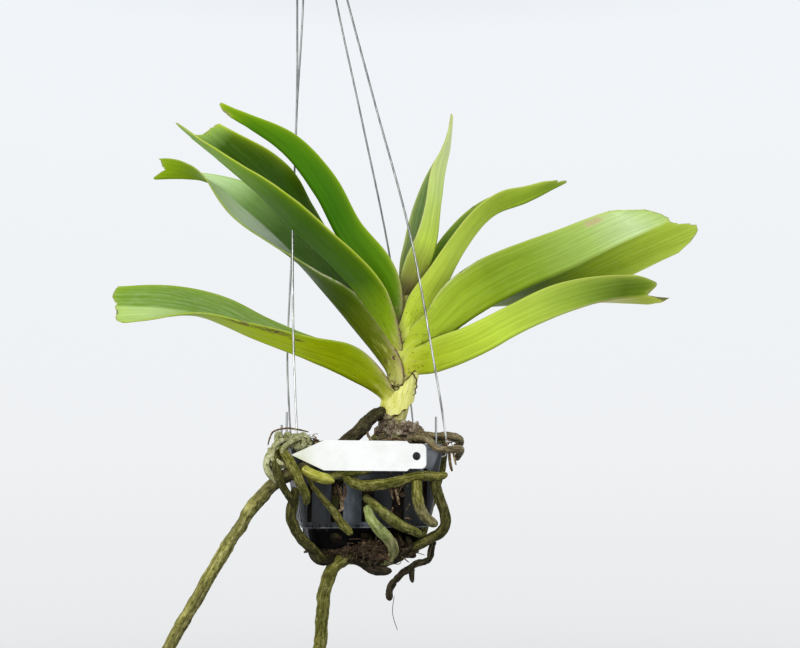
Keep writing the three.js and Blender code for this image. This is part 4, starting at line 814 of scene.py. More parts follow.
class Leaf:
    """A folded blade: its keel, its widths and the fold angles of its two halves."""

    def __init__(self, side, sheath, half_width, taper, front_tip, back_tip, rows, up=None):
        self.side, self.sheath, self.blade, self.taper = side, sheath, half_width, taper
        self.tips = list(zip(front_tip, back_tip))
        self.rows = np.array(rows, float)
        self.up = unit(np.array(up or (-0.5 * side, 0, 0.87), float))

    def half_width(self, s):
        opened = self.sheath + (self.blade - self.sheath) * smooth((s - 0.06) / 0.3)
        return opened * (1 - self.taper * smooth((s - 0.55) / 0.45) ** 1.3)

    def points(self, s, t, ragged):
        """Points of the blade's middle surface, s along it and t across it from -1 in front to 1 behind."""
        a, front = np.abs(t), t < 0
        notch, lobe, margin = [np.where(front, f, b) for f, b in self.tips]
        reach_inside = notch + (lobe - notch) * smooth(2 * a)
        reach_outside = lobe + (margin - lobe) * (2 * a - 1) ** 2
        reach = np.where(a < 0.5, reach_inside, reach_outside) + ragged
        along = s + (reach - 1) * np.clip((s - 0.86) / 0.14, 0, 1)
        keel = self.rows[:, :3]
        before, after = np.clip(along - 2e-3, 0, 1), np.clip(along + 2e-3, 0, 1)
        tangent = unit(smooth_curve(keel, after) - smooth_curve(keel, before))
        normal = unit(self.up - (tangent @ self.up)[..., None] * tangent)
        to_front = self.side * np.cross(tangent, normal)
        row = smooth_curve(self.rows, along)
        cup = BLADE_CUP + (BASE_CUP - BLADE_CUP) * (1 - smooth((along - 0.08) / 0.27))
        start = np.radians(np.where(front, row[..., 3], row[..., 4]) - cup)
        bend = np.radians(2 * cup)
        turned = start + bend * a
        width = self.half_width(along)
        out = width * (np.sin(turned) - np.sin(start)) / bend * np.where(front, 1, -1)
        rise = width * (np.cos(start) - np.cos(turned)) / bend
        return row[..., :3] + normal * rise[..., None] + to_front * out[..., None]


def scar_mask(name, s, t):
    """1 on the leaf's old scars."""
    mask = s * 0
    for along, across, long, wide in SCARS.get(name, []):
        mask = np.maximum(mask, np.exp(-(((s - along) / long) ** 2 + ((t - across) / wide) ** 2) ** 2))
    return mask


def worn_mask(name, s, t, to_margin):
    """1 where the leaf's front margin is worn."""
    if name not in WORN_MARGINS:
        return s * 0
    along, long = WORN_MARGINS[name]
    return np.exp(-(((s - along) / long) ** 4)) * np.exp(-to_margin / 0.7) * (t < 0)


def build_leaf(name, seed):
    """One blade with its thickness, its waves and the values that its colours follow."""
    leaf = Leaf(**LEAVES[name])
    spread = np.linspace(-1, 1, LEAF_COLUMNS)
    crowded = np.sign(spread) * (0.55 * np.abs(spread) + 0.45 * (1 - (1 - np.abs(spread)) ** 2))
    s, t = np.meshgrid(np.linspace(0, 1, LEAF_STATIONS), crowded, indexing="ij")
    a, width = np.abs(t), leaf.half_width(s)
    lengths = run_lengths(smooth_curve(leaf.rows[:, :3], s[:, 0]))
    along_mm = np.broadcast_to(lengths[:, None], s.shape)
    ragged = 0.005 * noise_at(seed, t * 6.3, 0, seed) + 0.004 * noise_at(seed + 5, t * 17, 0, 0)
    middle = leaf.points(s, t, ragged)
    normal = leaf.side * unit(np.cross(np.gradient(middle, axis=0), np.gradient(middle, axis=1)))
    to_margin = (1 - a) * width
    to_tip = (1 - s) * lengths[-1]
    wave = WAVE_HEIGHT * noise_at(seed + 3, along_mm / 24, np.sign(t) * 3 + t * 0.6, seed)
    wave = wave * a**1.6 * smooth((s - 0.2) / 0.2) * width / 20
    dents = DENT_DEPTH * noise_at(seed + 8, along_mm / 9, t * width / 4, 0) * smooth((s - 0.1) / 0.1)
    middle = middle + normal * (wave + dents)[..., None]

    thick = KEEL_THICKNESS + (MARGIN_THICKNESS - KEEL_THICKNESS) * a**0.7
    thick = thick + (TIP_THICKNESS - 0.8 * thick) * smooth((s - 0.1) / 0.9)
    half = thick / 2
    rounded = half * dome(to_margin / (1.2 * half)) * dome(to_tip / (1.2 * half) + 0.02)
    keel = np.exp(-((t * width / KEEL_HALF_WIDTH) ** 2))
    upper = middle + normal * (rounded - KEEL_GROOVE * keel * smooth((s - 0.2) / 0.1))[..., None]
    lower = middle - normal * (rounded + KEEL_RIDGE * keel * smooth((s - 0.15) / 0.2))[..., None]
    around = wrap_sheet(upper, lower, skip=1)

    def loop(grid):
        return wrap_sheet(grid, grid, skip=1).reshape(-1)

    margin = 0.62 * np.exp(-to_margin / 0.8) + 0.3 * np.exp(-to_margin / 3.2) + 0.35 * np.exp(-to_tip / 2.5)
    low = 1 - (smooth((s - 0.14) / 0.24) if leaf.side < 0 else smooth((s - 0.06) / 0.16))
    edge = np.exp(-to_margin / (0.35 + 1.5 * low)) * (0.3 + 0.7 * low) + 0.3 * np.exp(-to_tip / 0.6)
    values = dict(
        along=s, back_half=smooth((t * width + 0.6) / 1.2), base=0.75 * (1 - smooth((s - 0.02) / 0.16)),
        margin=np.clip(margin * smooth((s - 0.12) / 0.14), 0, 1), edge=np.clip(edge, 0, 1),
        speckled=1 - smooth((s - 0.12) / 0.34), scar=scar_mask(name, s, t),
        worn=worn_mask(name, s, t, to_margin))
    values = {key: loop(grid) for key, grid in values.items()}
    values["inner"] = wrap_sheet(s * 0 + 1, s * 0, skip=1).reshape(-1)
    values["skin"] = np.stack([loop(t * width), loop(along_mm), loop(s * 0 + 60.0 * seed)], 1)
    piece = Piece()
    piece.add(around, ring_faces(*around.shape[:2]), **values)
    piece.build(name.replace("leaf", "blade"), leaf_look(name, LEAF_LOOKS[name]), [name])


# Roots
def root_look(name, colours, low_colours=None):
    """Root skin; low_colours are those of the far end, where they differ."""
    look = Look(name + "_skin", specular=0.12)
    wrap = look.vector("wrap")
    lines = look.noise(wrap, (1.2, 1.2, 0.09), 4, 0.7)
    fine = look.noise(wrap, (3.4, 3.4, 0.5), 3, 0.65)
    patch = look.noise(wrap, 0.15, 4, 0.6)
    blotch = look.noise(wrap, (0.5, 0.5, 0.3), 5, 0.7)
    grain = look.noise(look.place(), 2.6, 3, 0.65)
    tone = (lines * 0.3 + fine * 0.2 + blotch * 0.35 + patch * 0.15).span(0.36, 0.65)

    def painted(dark, middle, pale):
        between = [(m + p) / 2 for m, p in zip(middle, pale)]
        return look.ramp(tone, (0.05, *dark), (0.4, *middle), (0.7, *between), (0.95, *pale))

    look.colour = painted(*colours)
    if low_colours:
        look.paint((look.value("along") + patch * 0.2).span(0.4, 0.62), painted(*low_colours))
    dark, _, pale = colours
    darkest = [channel * 0.6 for channel in dark]
    # Painted shade in the furrows.
    look.paint(look.value("groove") * 0.7, dark)
    look.paint(patch.span(0.56, 0.7, 0, 0.55), darkest)
    look.paint(patch.span(0.48, 0.38) * grain.span(0.48, 0.6) * 0.75, pale)
    # Painted shade on the undersides, which face away from the light.
    look.paint(look.value("under") * blotch.span(0.35, 0.6, 0.9, 0.5), darkest)
    look.paint(look.specks(wrap, (0.7, 0.7, 0.5), 0.17, 0.09) * 0.7, darkest)
    return look.finish(grain.span(0.3, 0.7, 0.66, 0.9), lines * 1.1 + grain * 0.35 + blotch * 0.9, depth=0.5)


def build_roots():
    for seed, (name, (radius, colours, furrow, girths, points)) in enumerate(ROOTS.items(), 1):
        piece = Piece()
        dry = name == "root_dry_tip"
        piece.add_root(points, radius, girths, furrow, seed, wander=1.1 if dry else 0.35)
        if dry:
            piece.add_root(DRY_STUB, 1.7, [1, 1, 0.9], 2, 90)
            piece.add_root(HAIR_ROOT, 0.2, [1, 1], 0.5, 91, sides=8)
        look = root_look(name, colours, LOW_COLOURS.get(name))
        piece.build(name.replace("root", "velamen"), look, [name])


# Stem, sheath and rootstock
def build_stem():
    centres, at = even_path(STEM_AXIS, 0.7)
    sides = 48
    around = wrapped(sides, at / 12)
    rough = 1 + 0.04 * noise3(around * [1, 1, 1.5], 3) + 0.015 * noise3(around * [4, 4, 1], 4)
    radius = STEM_RADIUS * (1 - 0.38 * (at / at[-1]) ** 1.5)
    skin = np.stack(np.broadcast_arrays(circle(sides) * STEM_RADIUS, at[:, None], 0), axis=-1).reshape(-1, 3)
    piece = Piece()
    piece.add_tube(centres, radius[:, None] * rough, sides, skin=skin)
    look = Look("stem_skin", specular=0.3)
    place = look.vector("skin")
    streak = look.noise(place, (0.8, 0.07, 1), 4)
    blotch = look.noise(place, 0.2)
    look.colour = look.ramp(streak, (0.25, 150, 146, 60), (0.5, 208, 202, 116), (0.75, 232, 228, 160))
    look.paint(blotch.span(0.56, 0.72), (120, 104, 60))
    piece.build("stalk", look.finish(blotch.span(0.3, 0.7, 0.4, 0.6), streak, depth=0.15), ["stem"])


def build_sheath():
    """The torn dry leaf base, a thin curled sheet round the front of the stem."""
    shares = np.linspace(0, 1, SHEATH_ROWS), np.linspace(0, 1, SHEATH_COLUMNS)
    high, across = np.meshgrid(*shares, indexing="ij")
    tear = noise_at(21, across * 9, 0, 0) * 1.6 + noise_at(22, across * 26, 0, 0) * 0.8
    top = SHEATH_TOP_LEFT + (SHEATH_TOP_RIGHT - SHEATH_TOP_LEFT) * smooth((across - 0.1) / 0.7) + tear
    low = SHEATH_LOW + 1.6 * np.sin(9 * across + 1) + 9 * across**3 + noise_at(23, across * 12, 5, 0) * 1.2
    z = low + (top - low) * high
    first, _, third = STEM_AXIS[:3]
    axis_x = first[0] + (third[0] - first[0]) * (z - first[2]) / (third[2] - first[2])
    flare = 1.3 + 0.4 * high**2 * across + 0.6 * (1 - high)
    curl = 0.5 * smooth((across - 0.9) / 0.1) + 0.3 * smooth((high - 0.85) / 0.15)
    radius = STEM_RADIUS + flare + curl + 0.25 * noise_at(24, across * 14, high * 3, 0)
    to_side, to_end = np.minimum(across, 1 - across), np.minimum(high, 1 - high)
    thick = np.minimum(1, np.minimum(to_end * 22, to_side * 30) + 0.05)
    angle = np.radians(SHEATH_START + SHEATH_SWEEP * across)
    torn = np.exp(-np.minimum(to_side * 22, to_end * 20) / 1.1)

    def face(r):
        return np.stack([axis_x + r * np.cos(angle), r * np.sin(angle), z], -1)

    def loop(grid):
        return wrap_sheet(grid, grid).reshape(-1)

    piece = Piece()
    piece.add(wrap_sheet(face(radius + thick), face(radius)), ring_faces(SHEATH_ROWS, 2 * SHEATH_COLUMNS),
              torn=loop(torn), skin=np.stack([loop(across * 24), loop(z), loop(z * 0)], 1))
    piece.add_strand(TORN_CURL, 0.42, torn=1.0, skin=np.zeros((1, 3)))
    look = Look("sheath_skin", specular=0.3)
    skin = look.vector("skin")
    streak = look.noise(skin, (1.3, 0.09, 1), 4, 0.6)
    blotch = look.noise(skin, 0.28, 4, 0.65)
    look.colour = look.ramp(streak, (0.28, 206, 206, 84), (0.5, 244, 242, 134), (0.72, 255, 254, 190))
    look.paint(blotch.span(0.58, 0.74, 0, 0.6), (150, 134, 74))
    look.paint((look.value("torn") + blotch * 0.9).span(0.78, 1.1), (74, 54, 32))
    look.paint(look.specks(skin, (0.55, 0.55, 0.55), 0.16, 0.08) * 0.7, (80, 66, 30))
    skin_look = look.finish(blotch.span(0.3, 0.7, 0.45, 0.7), streak, depth=0.2)
    piece.build("torn_sheath", skin_look, ["dry_sheath"])


def wood_look(name, dark, middle, pale, moss=0.0, green=(112, 122, 50)):
    look = Look(name, specular=0.2)
    place = look.place()
    ground = look.noise(place, 0.3, 5, 0.65)
    fibres = look.noise(place, (1.6, 1.6, 0.35), 5, 0.7)
    grain = look.noise(place, 2.2, 4, 0.7)
    tone = ground * 0.45 + fibres * 0.35 + grain * 0.2
    look.colour = look.ramp(tone, (0.36, *dark), (0.5, *middle), (0.62, *pale))
    if moss:
        look.paint(look.noise(place, 0.12, 4, 0.6).span(0.52, 0.62) * moss, green)
    return look.finish(grain.span(0.3, 0.7, 0.7, 0.92), ground + fibres, depth=0.6)


def build_rootstock():
    """The folded woody foot, its lumps and the dry flakes round it."""
    piece = Piece()
    centres, at = even_path(ROOTSTOCK_AXIS, 0.4)
    sides = 90
    around = wrapped(sides, at / 8)
    folds = 0.14 * noise3(around * 1.6, 5) + 0.08 * uneven(around * [3, 3, 5], 6)
    folds = folds - 0.2 * np.abs(noise3(around * [4, 4, 1.2], 7))
    radius = ROOTSTOCK_RADIUS * (1 + 0.1 * np.sin(9 * at / at[-1]))
    piece.add_tube(centres, radius[:, None] * (1.05 + folds), sides)
    for seed, (place, size) in enumerate(ROOTSTOCK_LUMPS, 60):
        piece.add_lump(place, np.array([1, 1, 0.85]) * size * 0.95, seed, 0.4, 1.7, detail=5)
    flakes = np.random.default_rng(3)
    for _ in range(COLLAR_FLAKES):
        turn = flakes.uniform(-2.6, 0.2)
        outward = np.array([math.cos(turn), math.sin(turn), 0])
        foot = np.array([12.5, -1, flakes.uniform(-2, 15)]) + ROOTSTOCK_RADIUS * outward
        sweep = 3 * np.array([-math.sin(turn), math.cos(turn), 0]) * flakes.uniform(-1, 1)
        end = foot + outward * flakes.uniform(0.4, 1.6) + sweep + [0, 0, flakes.uniform(-3, 4)]
        piece.add_strand([foot - sweep, foot + outward * 0.8, end], flakes.uniform(0.4, 0.9))
    bark = (34, 26, 20), (136, 118, 98), (226, 212, 192)
    look = wood_look("root_collar_bark", *bark, moss=0.5, green=(166, 166, 96))
    piece.build("root_collar", look, ["rootstock"])


# Crust of curled root ends on the left corner
def knob_look():
    look = Look("knob_skin", specular=0.12)
    place = look.place()
    patch = look.noise(place, 0.24, 4, 0.6)
    grain = look.noise(place, 1.3, 4, 0.7)
    stops = (0.34, 84, 84, 44), (0.45, 150, 150, 100), (0.56, 204, 204, 160), (0.68, 240, 238, 214)
    look.colour = look.ramp(patch * 0.5 + grain * 0.5, *stops)
    # Painted shade in the gaps between the knobs.
    look.paint(look.value("raised").span(0.05, 0.75, 0.96, 0), (40, 36, 18))
    return look.finish(grain.span(0.3, 0.7, 0.7, 0.9), patch + grain, depth=0.5)


def build_knobs():
    """Pale curled root ends packed over the rim's left corner."""
    numbers = np.random.default_rng(77)
    piece = Piece()
    core = smooth_curve(KNOB_CORE, np.linspace(0, 1, 40))
    piece.add_lump([-50, -49.5, -8.5], [6, 4.6, 6.6], 5, 0.3, 1.5)
    for i in range(KNOB_COUNT):
        along = (i + numbers.random()) / KNOB_COUNT
        spot, ahead = smooth_curve(KNOB_CORE, [along, min(1, along + 0.04)])
        way = unit(ahead - spot + 1e-6)
        turn = numbers.uniform(-0.3, 0.9) * math.pi
        leftward, upward = -0.6 * (along < 0.5), 0.3 + 0.7 * (along > 0.4)
        outward = np.array([math.sin(turn) * leftward, -math.cos(turn * 0.5), math.sin(turn) * upward])
        side = unit(np.cross(way, outward))
        size = numbers.uniform(1.2, 2.1)
        place = spot + outward * numbers.uniform(2.2, 4.0)
        half = numbers.uniform(2.4, 4.6)
        lean = half * (way * numbers.uniform(-0.6, 0.9) + side * numbers.uniform(-1, 1))
        bulge = outward * numbers.uniform(0.8, 2.2)
        points = [place - lean - outward * 1.2, place - lean * 0.5 + bulge * 0.7,
                  place + bulge + side * numbers.uniform(-1, 1), place + lean * 0.6 + bulge * 0.6,
                  place + lean - outward]
        piece.add_root(points, size, [0.8, 1.1, 0.9, 1.15, 0.9], 1.7, 110 + i, step=0.5, sides=24, wander=0.5)
    for values, points in zip(piece.values, piece.points):
        reach = np.linalg.norm(points[:, None] - core, axis=2).min(axis=1)
        values.clear()
        # raised is low near the crust's core, in the gaps, where the skin paints shade.
        values["raised"] = smooth((reach - 3.4) / 3.0)
    for seed, (radius, points) in enumerate(PALE_CURLS, 170):
        piece.add_root(points, radius, [0.8, 1.05, 0.9, 1.1, 0.9], 1.6, seed, wander=0.5)
        # On the pale curls raised is lower on the underside, for painted shade there.
        piece.values[-1] = {"raised": 0.85 - 0.6 * piece.values[-1]["under"]}
    piece.build("knob_crust", knob_look(), ["root_knobs_left"])


# Basket
def rounded_square(half, z, radius, steps=8):
    """A ring of points round a square with round corners."""
    ring = []
    for corner, (sx, sy) in enumerate([(1, 1), (-1, 1), (-1, -1), (1, -1)]):
        for k in range(steps + 1):
            angle = (corner + k / steps) * math.pi / 2
            x = sx * (half - radius) + radius * math.cos(angle)
            y = sy * (half - radius) + radius * math.sin(angle)
            ring.append((x, y, z))
    return ring


def box(x, y, z, width, depth, height):
    """The corners of a box round its middle, as two rings."""
    return [(x + sx * width / 2, y + sy * depth / 2, z + sz * height / 2)
            for sz in (-1, 1) for sx, sy in [(-1, -1), (1, -1), (1, 1), (-1, 1)]]


def wire_hole(x, y, z):
    """A round cut along the first axis, as two rings."""
    ring = [(y + WIRE_HOLE_RADIUS * math.cos(a), z + WIRE_HOLE_RADIUS * math.sin(a)) for a in circle(24)]
    return [(x + end * CUT_WALL_DEPTH / 2, *spot) for end in (-1, 1) for spot in ring]


def basket_cutters():
    """The ends of every slot and hole, each as two rings of points."""
    slot_low = STEP_Z + 4
    slot_height = BAND_LOW_Z - slot_low
    slit_height = slot_height + 6
    slot_z, slit_z, tier_z = slot_low + slot_height / 2, slot_low + slit_height / 2, (STEP_Z + FLOOR_Z) / 2
    cutters = []
    for n in (-SLOT_PITCH, 0, SLOT_PITCH):
        for side in (-1, 1):
            cutters += [box(n, side * CUT_WALL, slot_z, SLOT_WIDTH, CUT_WALL_DEPTH, slot_height),
                        box(side * CUT_WALL, n, slot_z, CUT_WALL_DEPTH, SLOT_WIDTH, slot_height),
                        box(n, side * CUT_TIER, tier_z, SLOT_WIDTH, CUT_TIER_SIZE, CUT_TIER_SIZE),
                        box(side * CUT_TIER, n, tier_z, CUT_TIER_SIZE, SLOT_WIDTH, CUT_TIER_SIZE)]
        cutters.append(box(n, 0, FLOOR_Z, SLOT_WIDTH, FLOOR_SLOT_LENGTH, CUT_TIER_SIZE))
    for x in (-1, 1):
        for side in (-1, 1):
            slit_x = x * SIDE_SLIT_X
            cutters += [box(slit_x, side * CUT_WALL, slit_z, SIDE_SLIT_WIDTH, CUT_WALL_DEPTH, slit_height),
                        box(side * CUT_WALL, slit_x, slit_z, CUT_WALL_DEPTH, SIDE_SLIT_WIDTH, slit_height),
                        wire_hole(x * (WALL_TOP_HALF - 1), side * WIRE_HOLE_Y, WIRE_HOLE_Z)]
    return [(points, ring_faces(2, len(points) // 2)) for points in cutters]


def solids(name, parts):
    """An object of closed solids in the basket's own millimetres."""
    gathered = Piece()
    for points, faces in parts:
        gathered.add(points, faces)
    mesh = bpy.data.meshes.new(name)
    mesh.from_pydata(np.vstack(gathered.points).tolist(), [], gathered.faces)
    shell = bmesh.new()
    shell.from_mesh(mesh)
    bmesh.ops.recalc_face_normals(shell, faces=shell.faces)
    shell.to_mesh(mesh)
    shell.free()
    return show(bpy.data.objects.new(name, mesh))


def finished_mesh(piece):
    """The piece's mesh with its modifiers or its curve worked out."""
    bpy.context.view_layer.update()
    return bpy.data.meshes.new_from_object(piece.evaluated_get(bpy.context.evaluated_depsgraph_get()))


def mesh_points(mesh):
    """The mesh's points as rows of x, y and z."""
    points = np.zeros(len(mesh.vertices) * 3)
    mesh.vertices.foreach_get("co", points)
    return points.reshape(-1, 3)


def build_basket():
    """The slotted pot, cut from rounded square rings."""
    step_low, step_high = STEP_Z + 0.4, STEP_Z + 0.6
    outside = [(TIER_LOW_HALF, FLOOR_Z), (TIER_TOP_HALF, step_low), (WALL_LOW_HALF, step_high),
               (WALL_TOP_HALF, -RIM_HEIGHT - 0.4), (RIM_HALF, -RIM_HEIGHT), (RIM_HALF, 0)]
    inside = [(WALL_TOP_HALF - WALL + 0.15, 0), (WALL_LOW_HALF - WALL, step_high + WALL + 0.2),
              (TIER_TOP_HALF - WALL, step_high + WALL), (TIER_LOW_HALF - WALL, FLOOR_Z + WALL)]
    rings = [rounded_square(half, z, CORNER_RADIUS) for half, z in outside]
    rings += [rounded_square(half, z, CORNER_RADIUS - WALL) for half, z in inside]
    basket = solids("basket_shell", [(rings, ring_faces(len(rings), len(rings[0])))])
    cutter = solids("basket_cutters", basket_cutters())
    cut = basket.modifiers.new("slots", "BOOLEAN")
    cut.operation, cut.solver, cut.object = "DIFFERENCE", "EXACT", cutter
    bevel = basket.modifiers.new("soft_edges", "BEVEL")
    bevel.width, bevel.segments, bevel.harden_normals = EDGE_BEVEL, 2, True
    bevel.limit_method, bevel.angle_limit = "ANGLE", math.radians(35)
    mesh = finished_mesh(basket)
    basket.modifiers.clear()
    basket.data = mesh
    bpy.data.objects.remove(cutter)
    mesh.vertices.foreach_set("co", in_frame(pot_points(mesh_points(mesh))).ravel())
    mesh.update()
    mesh.polygons.foreach_set("use_smooth", np.ones(len(mesh.polygons), bool))
    mesh.set_sharp_from_angle(angle=math.radians(38))
    dress(basket, basket_look(), ["basket"])


def basket_look():
    look = Look("basket_plastic", specular=0.45)
    place = look.place()
    x, y, z = [look.part(place, axis) for axis in "XYZ"]
    grain = look.noise(place, 3.0)
    smear = look.noise(place, (0.1, 0.1, 0.03), 4, 0.55)
    dust = look.noise(place, (0.5, 0.5, 0.2), 5, 0.7)
    look.colour = look.ramp(smear, (0.32, 14, 18, 22), (0.5, 34, 40, 45), (0.68, 76, 82, 88))
    left, right = LIT_PANEL
    # Painted light and shade: the lit panel is painted paler, and the rest of the basket darker as shade.
    look.shade((x.span(left - 1.5, left) * x.span(right + 4, right)).span(0, 1, 0.6, 2.2))
    # A painted highlight on the upper band of the front's rounded right corner.
    corner_highlight = x.span(*CORNER_HIGHLIGHT_X) * z.span(*CORNER_HIGHLIGHT_Z) * y.span(*CORNER_HIGHLIGHT_Y)
    look.paint(corner_highlight * smear.span(0.3, 0.6, 0.6, 0.95), (128, 132, 140))
    look.paint(dust.span(0.56, 0.8, 0, 0.35), (112, 108, 94))
    # Painted shade: below the step, where the foot lies in shade, the basket is painted near black.
    step = float(STEP_Z - HANGING_POINT[2])
    painted_foot_shade = (z + dust.span(0.3, 0.7, -2, 2)).span(step - 1, step + 4, 1, 0)
    look.paint(painted_foot_shade * 0.97, (5, 4, 4))
    # A painted highlight along the edge of the step.
    lit_step_edge = z.span(step, step + 0.5) * z.span(step + 1.5, step + 1)
    look.paint(lit_step_edge * smear.span(0.4, 0.55, 0.2, 0.7), (128, 132, 134))
    # Less specular in the painted shade below the step.
    look.put(look.surface["Specular IOR Level"], painted_foot_shade.span(0, 1, 0.45, 0.03))
    return look.finish(dust.span(0.35, 0.7, 0.34, 0.6), grain * 0.3 + dust * 0.4, depth=0.08)


# Hanger
def wire_look():
    """Drawn zinc wire, with a painted highlight that makes its lower part paler."""
    look = Look("galvanised_wire")
    look.put(look.surface["Metallic"], 1.0)
    place = look.place()
    drawn = look.noise(place, (0.9, 0.9, 0.018))
    spots = look.noise(place, (0.5, 0.5, 0.12), 4, 0.6)
    dark = (0.3, 92, 94, 96)
    look.colour = look.ramp(drawn, dark, (0.7, 160, 161, 158))
    # Painted highlight: the wire's lower part is painted paler.
    look.paint(look.part(place, "Z").span(-330, -400), look.ramp(drawn, dark, (0.7, 222, 224, 220)))
    look.paint(spots.span(0.6, 0.78, 0, 0.45), (84, 74, 62))
    return look.finish(spots.span(0.3, 0.7, 0.3, 0.42), drawn, depth=0.02)


def centripetal(points, samples):
    """A smooth curve that doesn't overshoot where its points are uneven, as a dense row of points."""
    p = [2 * points[0] - points[1], *points, 2 * points[-1] - points[-2]]
    dense = []
    for a, b, c, d in zip(p, p[1:], p[2:], p[3:]):
        gaps = [max(np.linalg.norm(gap), 1e-4) ** 0.5 for gap in (b - a, c - b, d - c)]
        k0, k1, k2, k3 = np.cumsum([0] + gaps)
        for t in np.linspace(k1, k2, samples, endpoint=False):
            ab = a + (b - a) * (t - k0) / (k1 - k0)
            bc = b + (c - b) * (t - k1) / (k2 - k1)
            cd = c + (d - c) * (t - k2) / (k3 - k2)
            abc = ab + (bc - ab) * (t - k0) / (k2 - k0)
            bcd = bc + (cd - bc) * (t - k1) / (k3 - k1)
            dense.append(abc + (bcd - abc) * (t - k1) / (k2 - k1))
    return np.array(dense + [points[-1]])


def build_wires():
    """The four wires from their hooked ends at the rim, the hook, and the wrap that ties them to it."""
    metal = wire_look()

    def build_metal(name, node, centres, radius, sides):
        piece = Piece()
        piece.add_tube(centres, radius, sides)
        piece.build(name, metal, [node])

    inner = WALL_TOP_HALF - WALL - 1 - GAP - WIRE_RADIUS
    outer = RIM_HALF + GAP + WIRE_RADIUS
    pass_z = WIRE_HOLE_Z + 0.55 * WIRE_HOLE_RADIUS - GAP - WIRE_RADIUS
    for name, (sx, sy, outside, bows, inward, end) in WIRES.items():
        near, far = (outer, inner) if outside else (inner, outer)
        across = near - far
        path = [(far, end), (far, 4), (far, pass_z + 2.6), (far + 0.18 * across, pass_z + 0.5),
                (far + 0.5 * across, pass_z), (far + 0.82 * across, pass_z + 0.5), (near, pass_z + 2.6),
                (near, 2)]
        points = list(pot_points([(sx * x, sy * WIRE_HOLE_Y, z) for x, z in path]))
        rise = points[-1]
        top = SHANK_BOTTOM + np.array([sx * 1.1, sy * 1.1, -0.1 - GAP])
        for at, bow in zip(WIRE_BOWS_AT, bows):
            points.append(rise + (top - rise) * at + np.array([bow, inward * math.sin(math.pi * at), 0]))
        build_metal(name.replace("wire", "steel"), name, centripetal(points + [top], 14), WIRE_RADIUS, 16)

    hook = [(0, 0, 0), (0, 0, SHANK_HEIGHT / 2), (0, 0, SHANK_HEIGHT)]
    for angle in np.radians(range(-45, 216, 20)):
        hook.append((HOOK_RADIUS * math.cos(angle), 0, HOOK_CENTRE_HEIGHT + HOOK_RADIUS * math.sin(angle)))
    centres, at = even_path(hook + SHANK_BOTTOM, 0.8)
    ends = np.minimum(at, at[-1] - at) / HOOK_WIRE_RADIUS
    build_metal("steel_hook", "hanger_hook", centres, HOOK_WIRE_RADIUS * dome(ends, 0.01), 24)
    radius = HOOK_WIRE_RADIUS + WIRE_RADIUS + GAP
    angle = np.linspace(0, 2 * math.pi * WRAP_TURNS, WRAP_TURNS * 40)
    climb = WRAP_START + WRAP_PITCH * angle / (2 * math.pi)
    coil = np.stack([radius * np.cos(angle), radius * np.sin(angle), climb], 1)
    build_metal("steel_wrap", "hanger_wrap", coil + SHANK_BOTTOM, WIRE_RADIUS, 14)


# Tag
def tag_outline():
    """The outer edge and the hole of the tag, flat, with its point at the start of the first axis."""
    half, tab, corner = TAG_WIDTH / 2, TAG_TAB_WIDTH / 2, TAG_TAB_CORNER
    body_end, corner_x, corner_y = TAG_LENGTH - TAG_TAB_LENGTH, TAG_LENGTH - corner, -tab + corner
    edge = [(0, 0.0), (TAG_POINT_LENGTH, -half), (body_end, -half), (body_end + 1.5, -tab)]
    for angle in np.linspace(-math.pi / 2, 0, 9):
        edge.append((corner_x + corner * math.cos(angle), corner_y + corner * math.sin(angle)))
    edge += [(x, -y) for x, y in reversed(edge[1:])]
    hole_x = TAG_LENGTH - TAG_TAB_LENGTH / 2
    hole = [(hole_x + TAG_HOLE_RADIUS * math.cos(a), -TAG_HOLE_RADIUS * math.sin(a)) for a in circle(48)]
    return edge, hole


def build_tag():
    """The blank plant label, slightly bent and leaning against the roots."""
    curve = bpy.data.curves.new("label_outline", "CURVE")
    curve.dimensions, curve.fill_mode = "2D", "BOTH"
    for ring in tag_outline():
        spline = curve.splines.new("POLY")
        spline.points.add(len(ring) - 1)
        for point, (x, y) in zip(spline.points, ring):
            point.co = (x, y, 0, 1)
        spline.use_cyclic_u = True
    curve.extrude, curve.offset = TAG_THICKNESS / 2 - TAG_BEVEL, -TAG_BEVEL
    curve.bevel_depth, curve.bevel_resolution = TAG_BEVEL, 2
    carrier = show(bpy.data.objects.new("label_outline", curve))
    mesh = finished_mesh(carrier)
    bpy.data.objects.remove(carrier)

    flat = mesh_points(mesh)
    upright = np.stack([flat[:, 0], -flat[:, 2] - TAG_THICKNESS / 2, flat[:, 1]], 1)
    tilt = Matrix.Rotation(TAG_ROLL, 3, "Y") @ Matrix.Rotation(TAG_LEAN, 3, "X")
    tilted = upright @ np.array(tilt).T
    tilted[:, 1] += TAG_BEND * ((tilted[:, 0] / TAG_LENGTH * 2 - 1) ** 2 - 1)
    mesh.vertices.foreach_set("co", in_frame(spun(tilted, POT_YAW) + TAG_PLACE).ravel())
    toward_point = (1 - flat[:, 0] / TAG_LENGTH).astype(np.float32)
    mesh.attributes.new("toward_point", "FLOAT", "POINT").data.foreach_set("value", toward_point)
    mesh.update()
    mesh.set_sharp_from_angle(angle=math.radians(40))

    look = Look("label_plastic", specular=0.4)
    grain = look.noise(look.place(), 2.5)
    smudge = look.noise(look.place(), 0.09, 4, 0.55)
    look.colour = look.ramp(smudge, (0.3, 236, 236, 232), (0.6, 246, 246, 243))
    look.paint(look.value("toward_point").span(0.78, 1) * smudge.span(0.25, 0.6) * 0.9, (196, 200, 150))
    skin = look.finish(smudge.span(0.3, 0.7, 0.35, 0.55), grain, depth=0.03)
    dress(bpy.data.objects.new("label", mesh), skin, ["name_tag"])


# What fills the basket
def fill_height(x, y, top_half):
    """The height of the medium, which is heaped a little in the middle."""
    inward = min(1, (1 - max(abs(x), abs(y)) / top_half) * 1.2)
    return FILL_TOP_Z + FILL_HEAP * math.sin(inward * math.pi / 2)


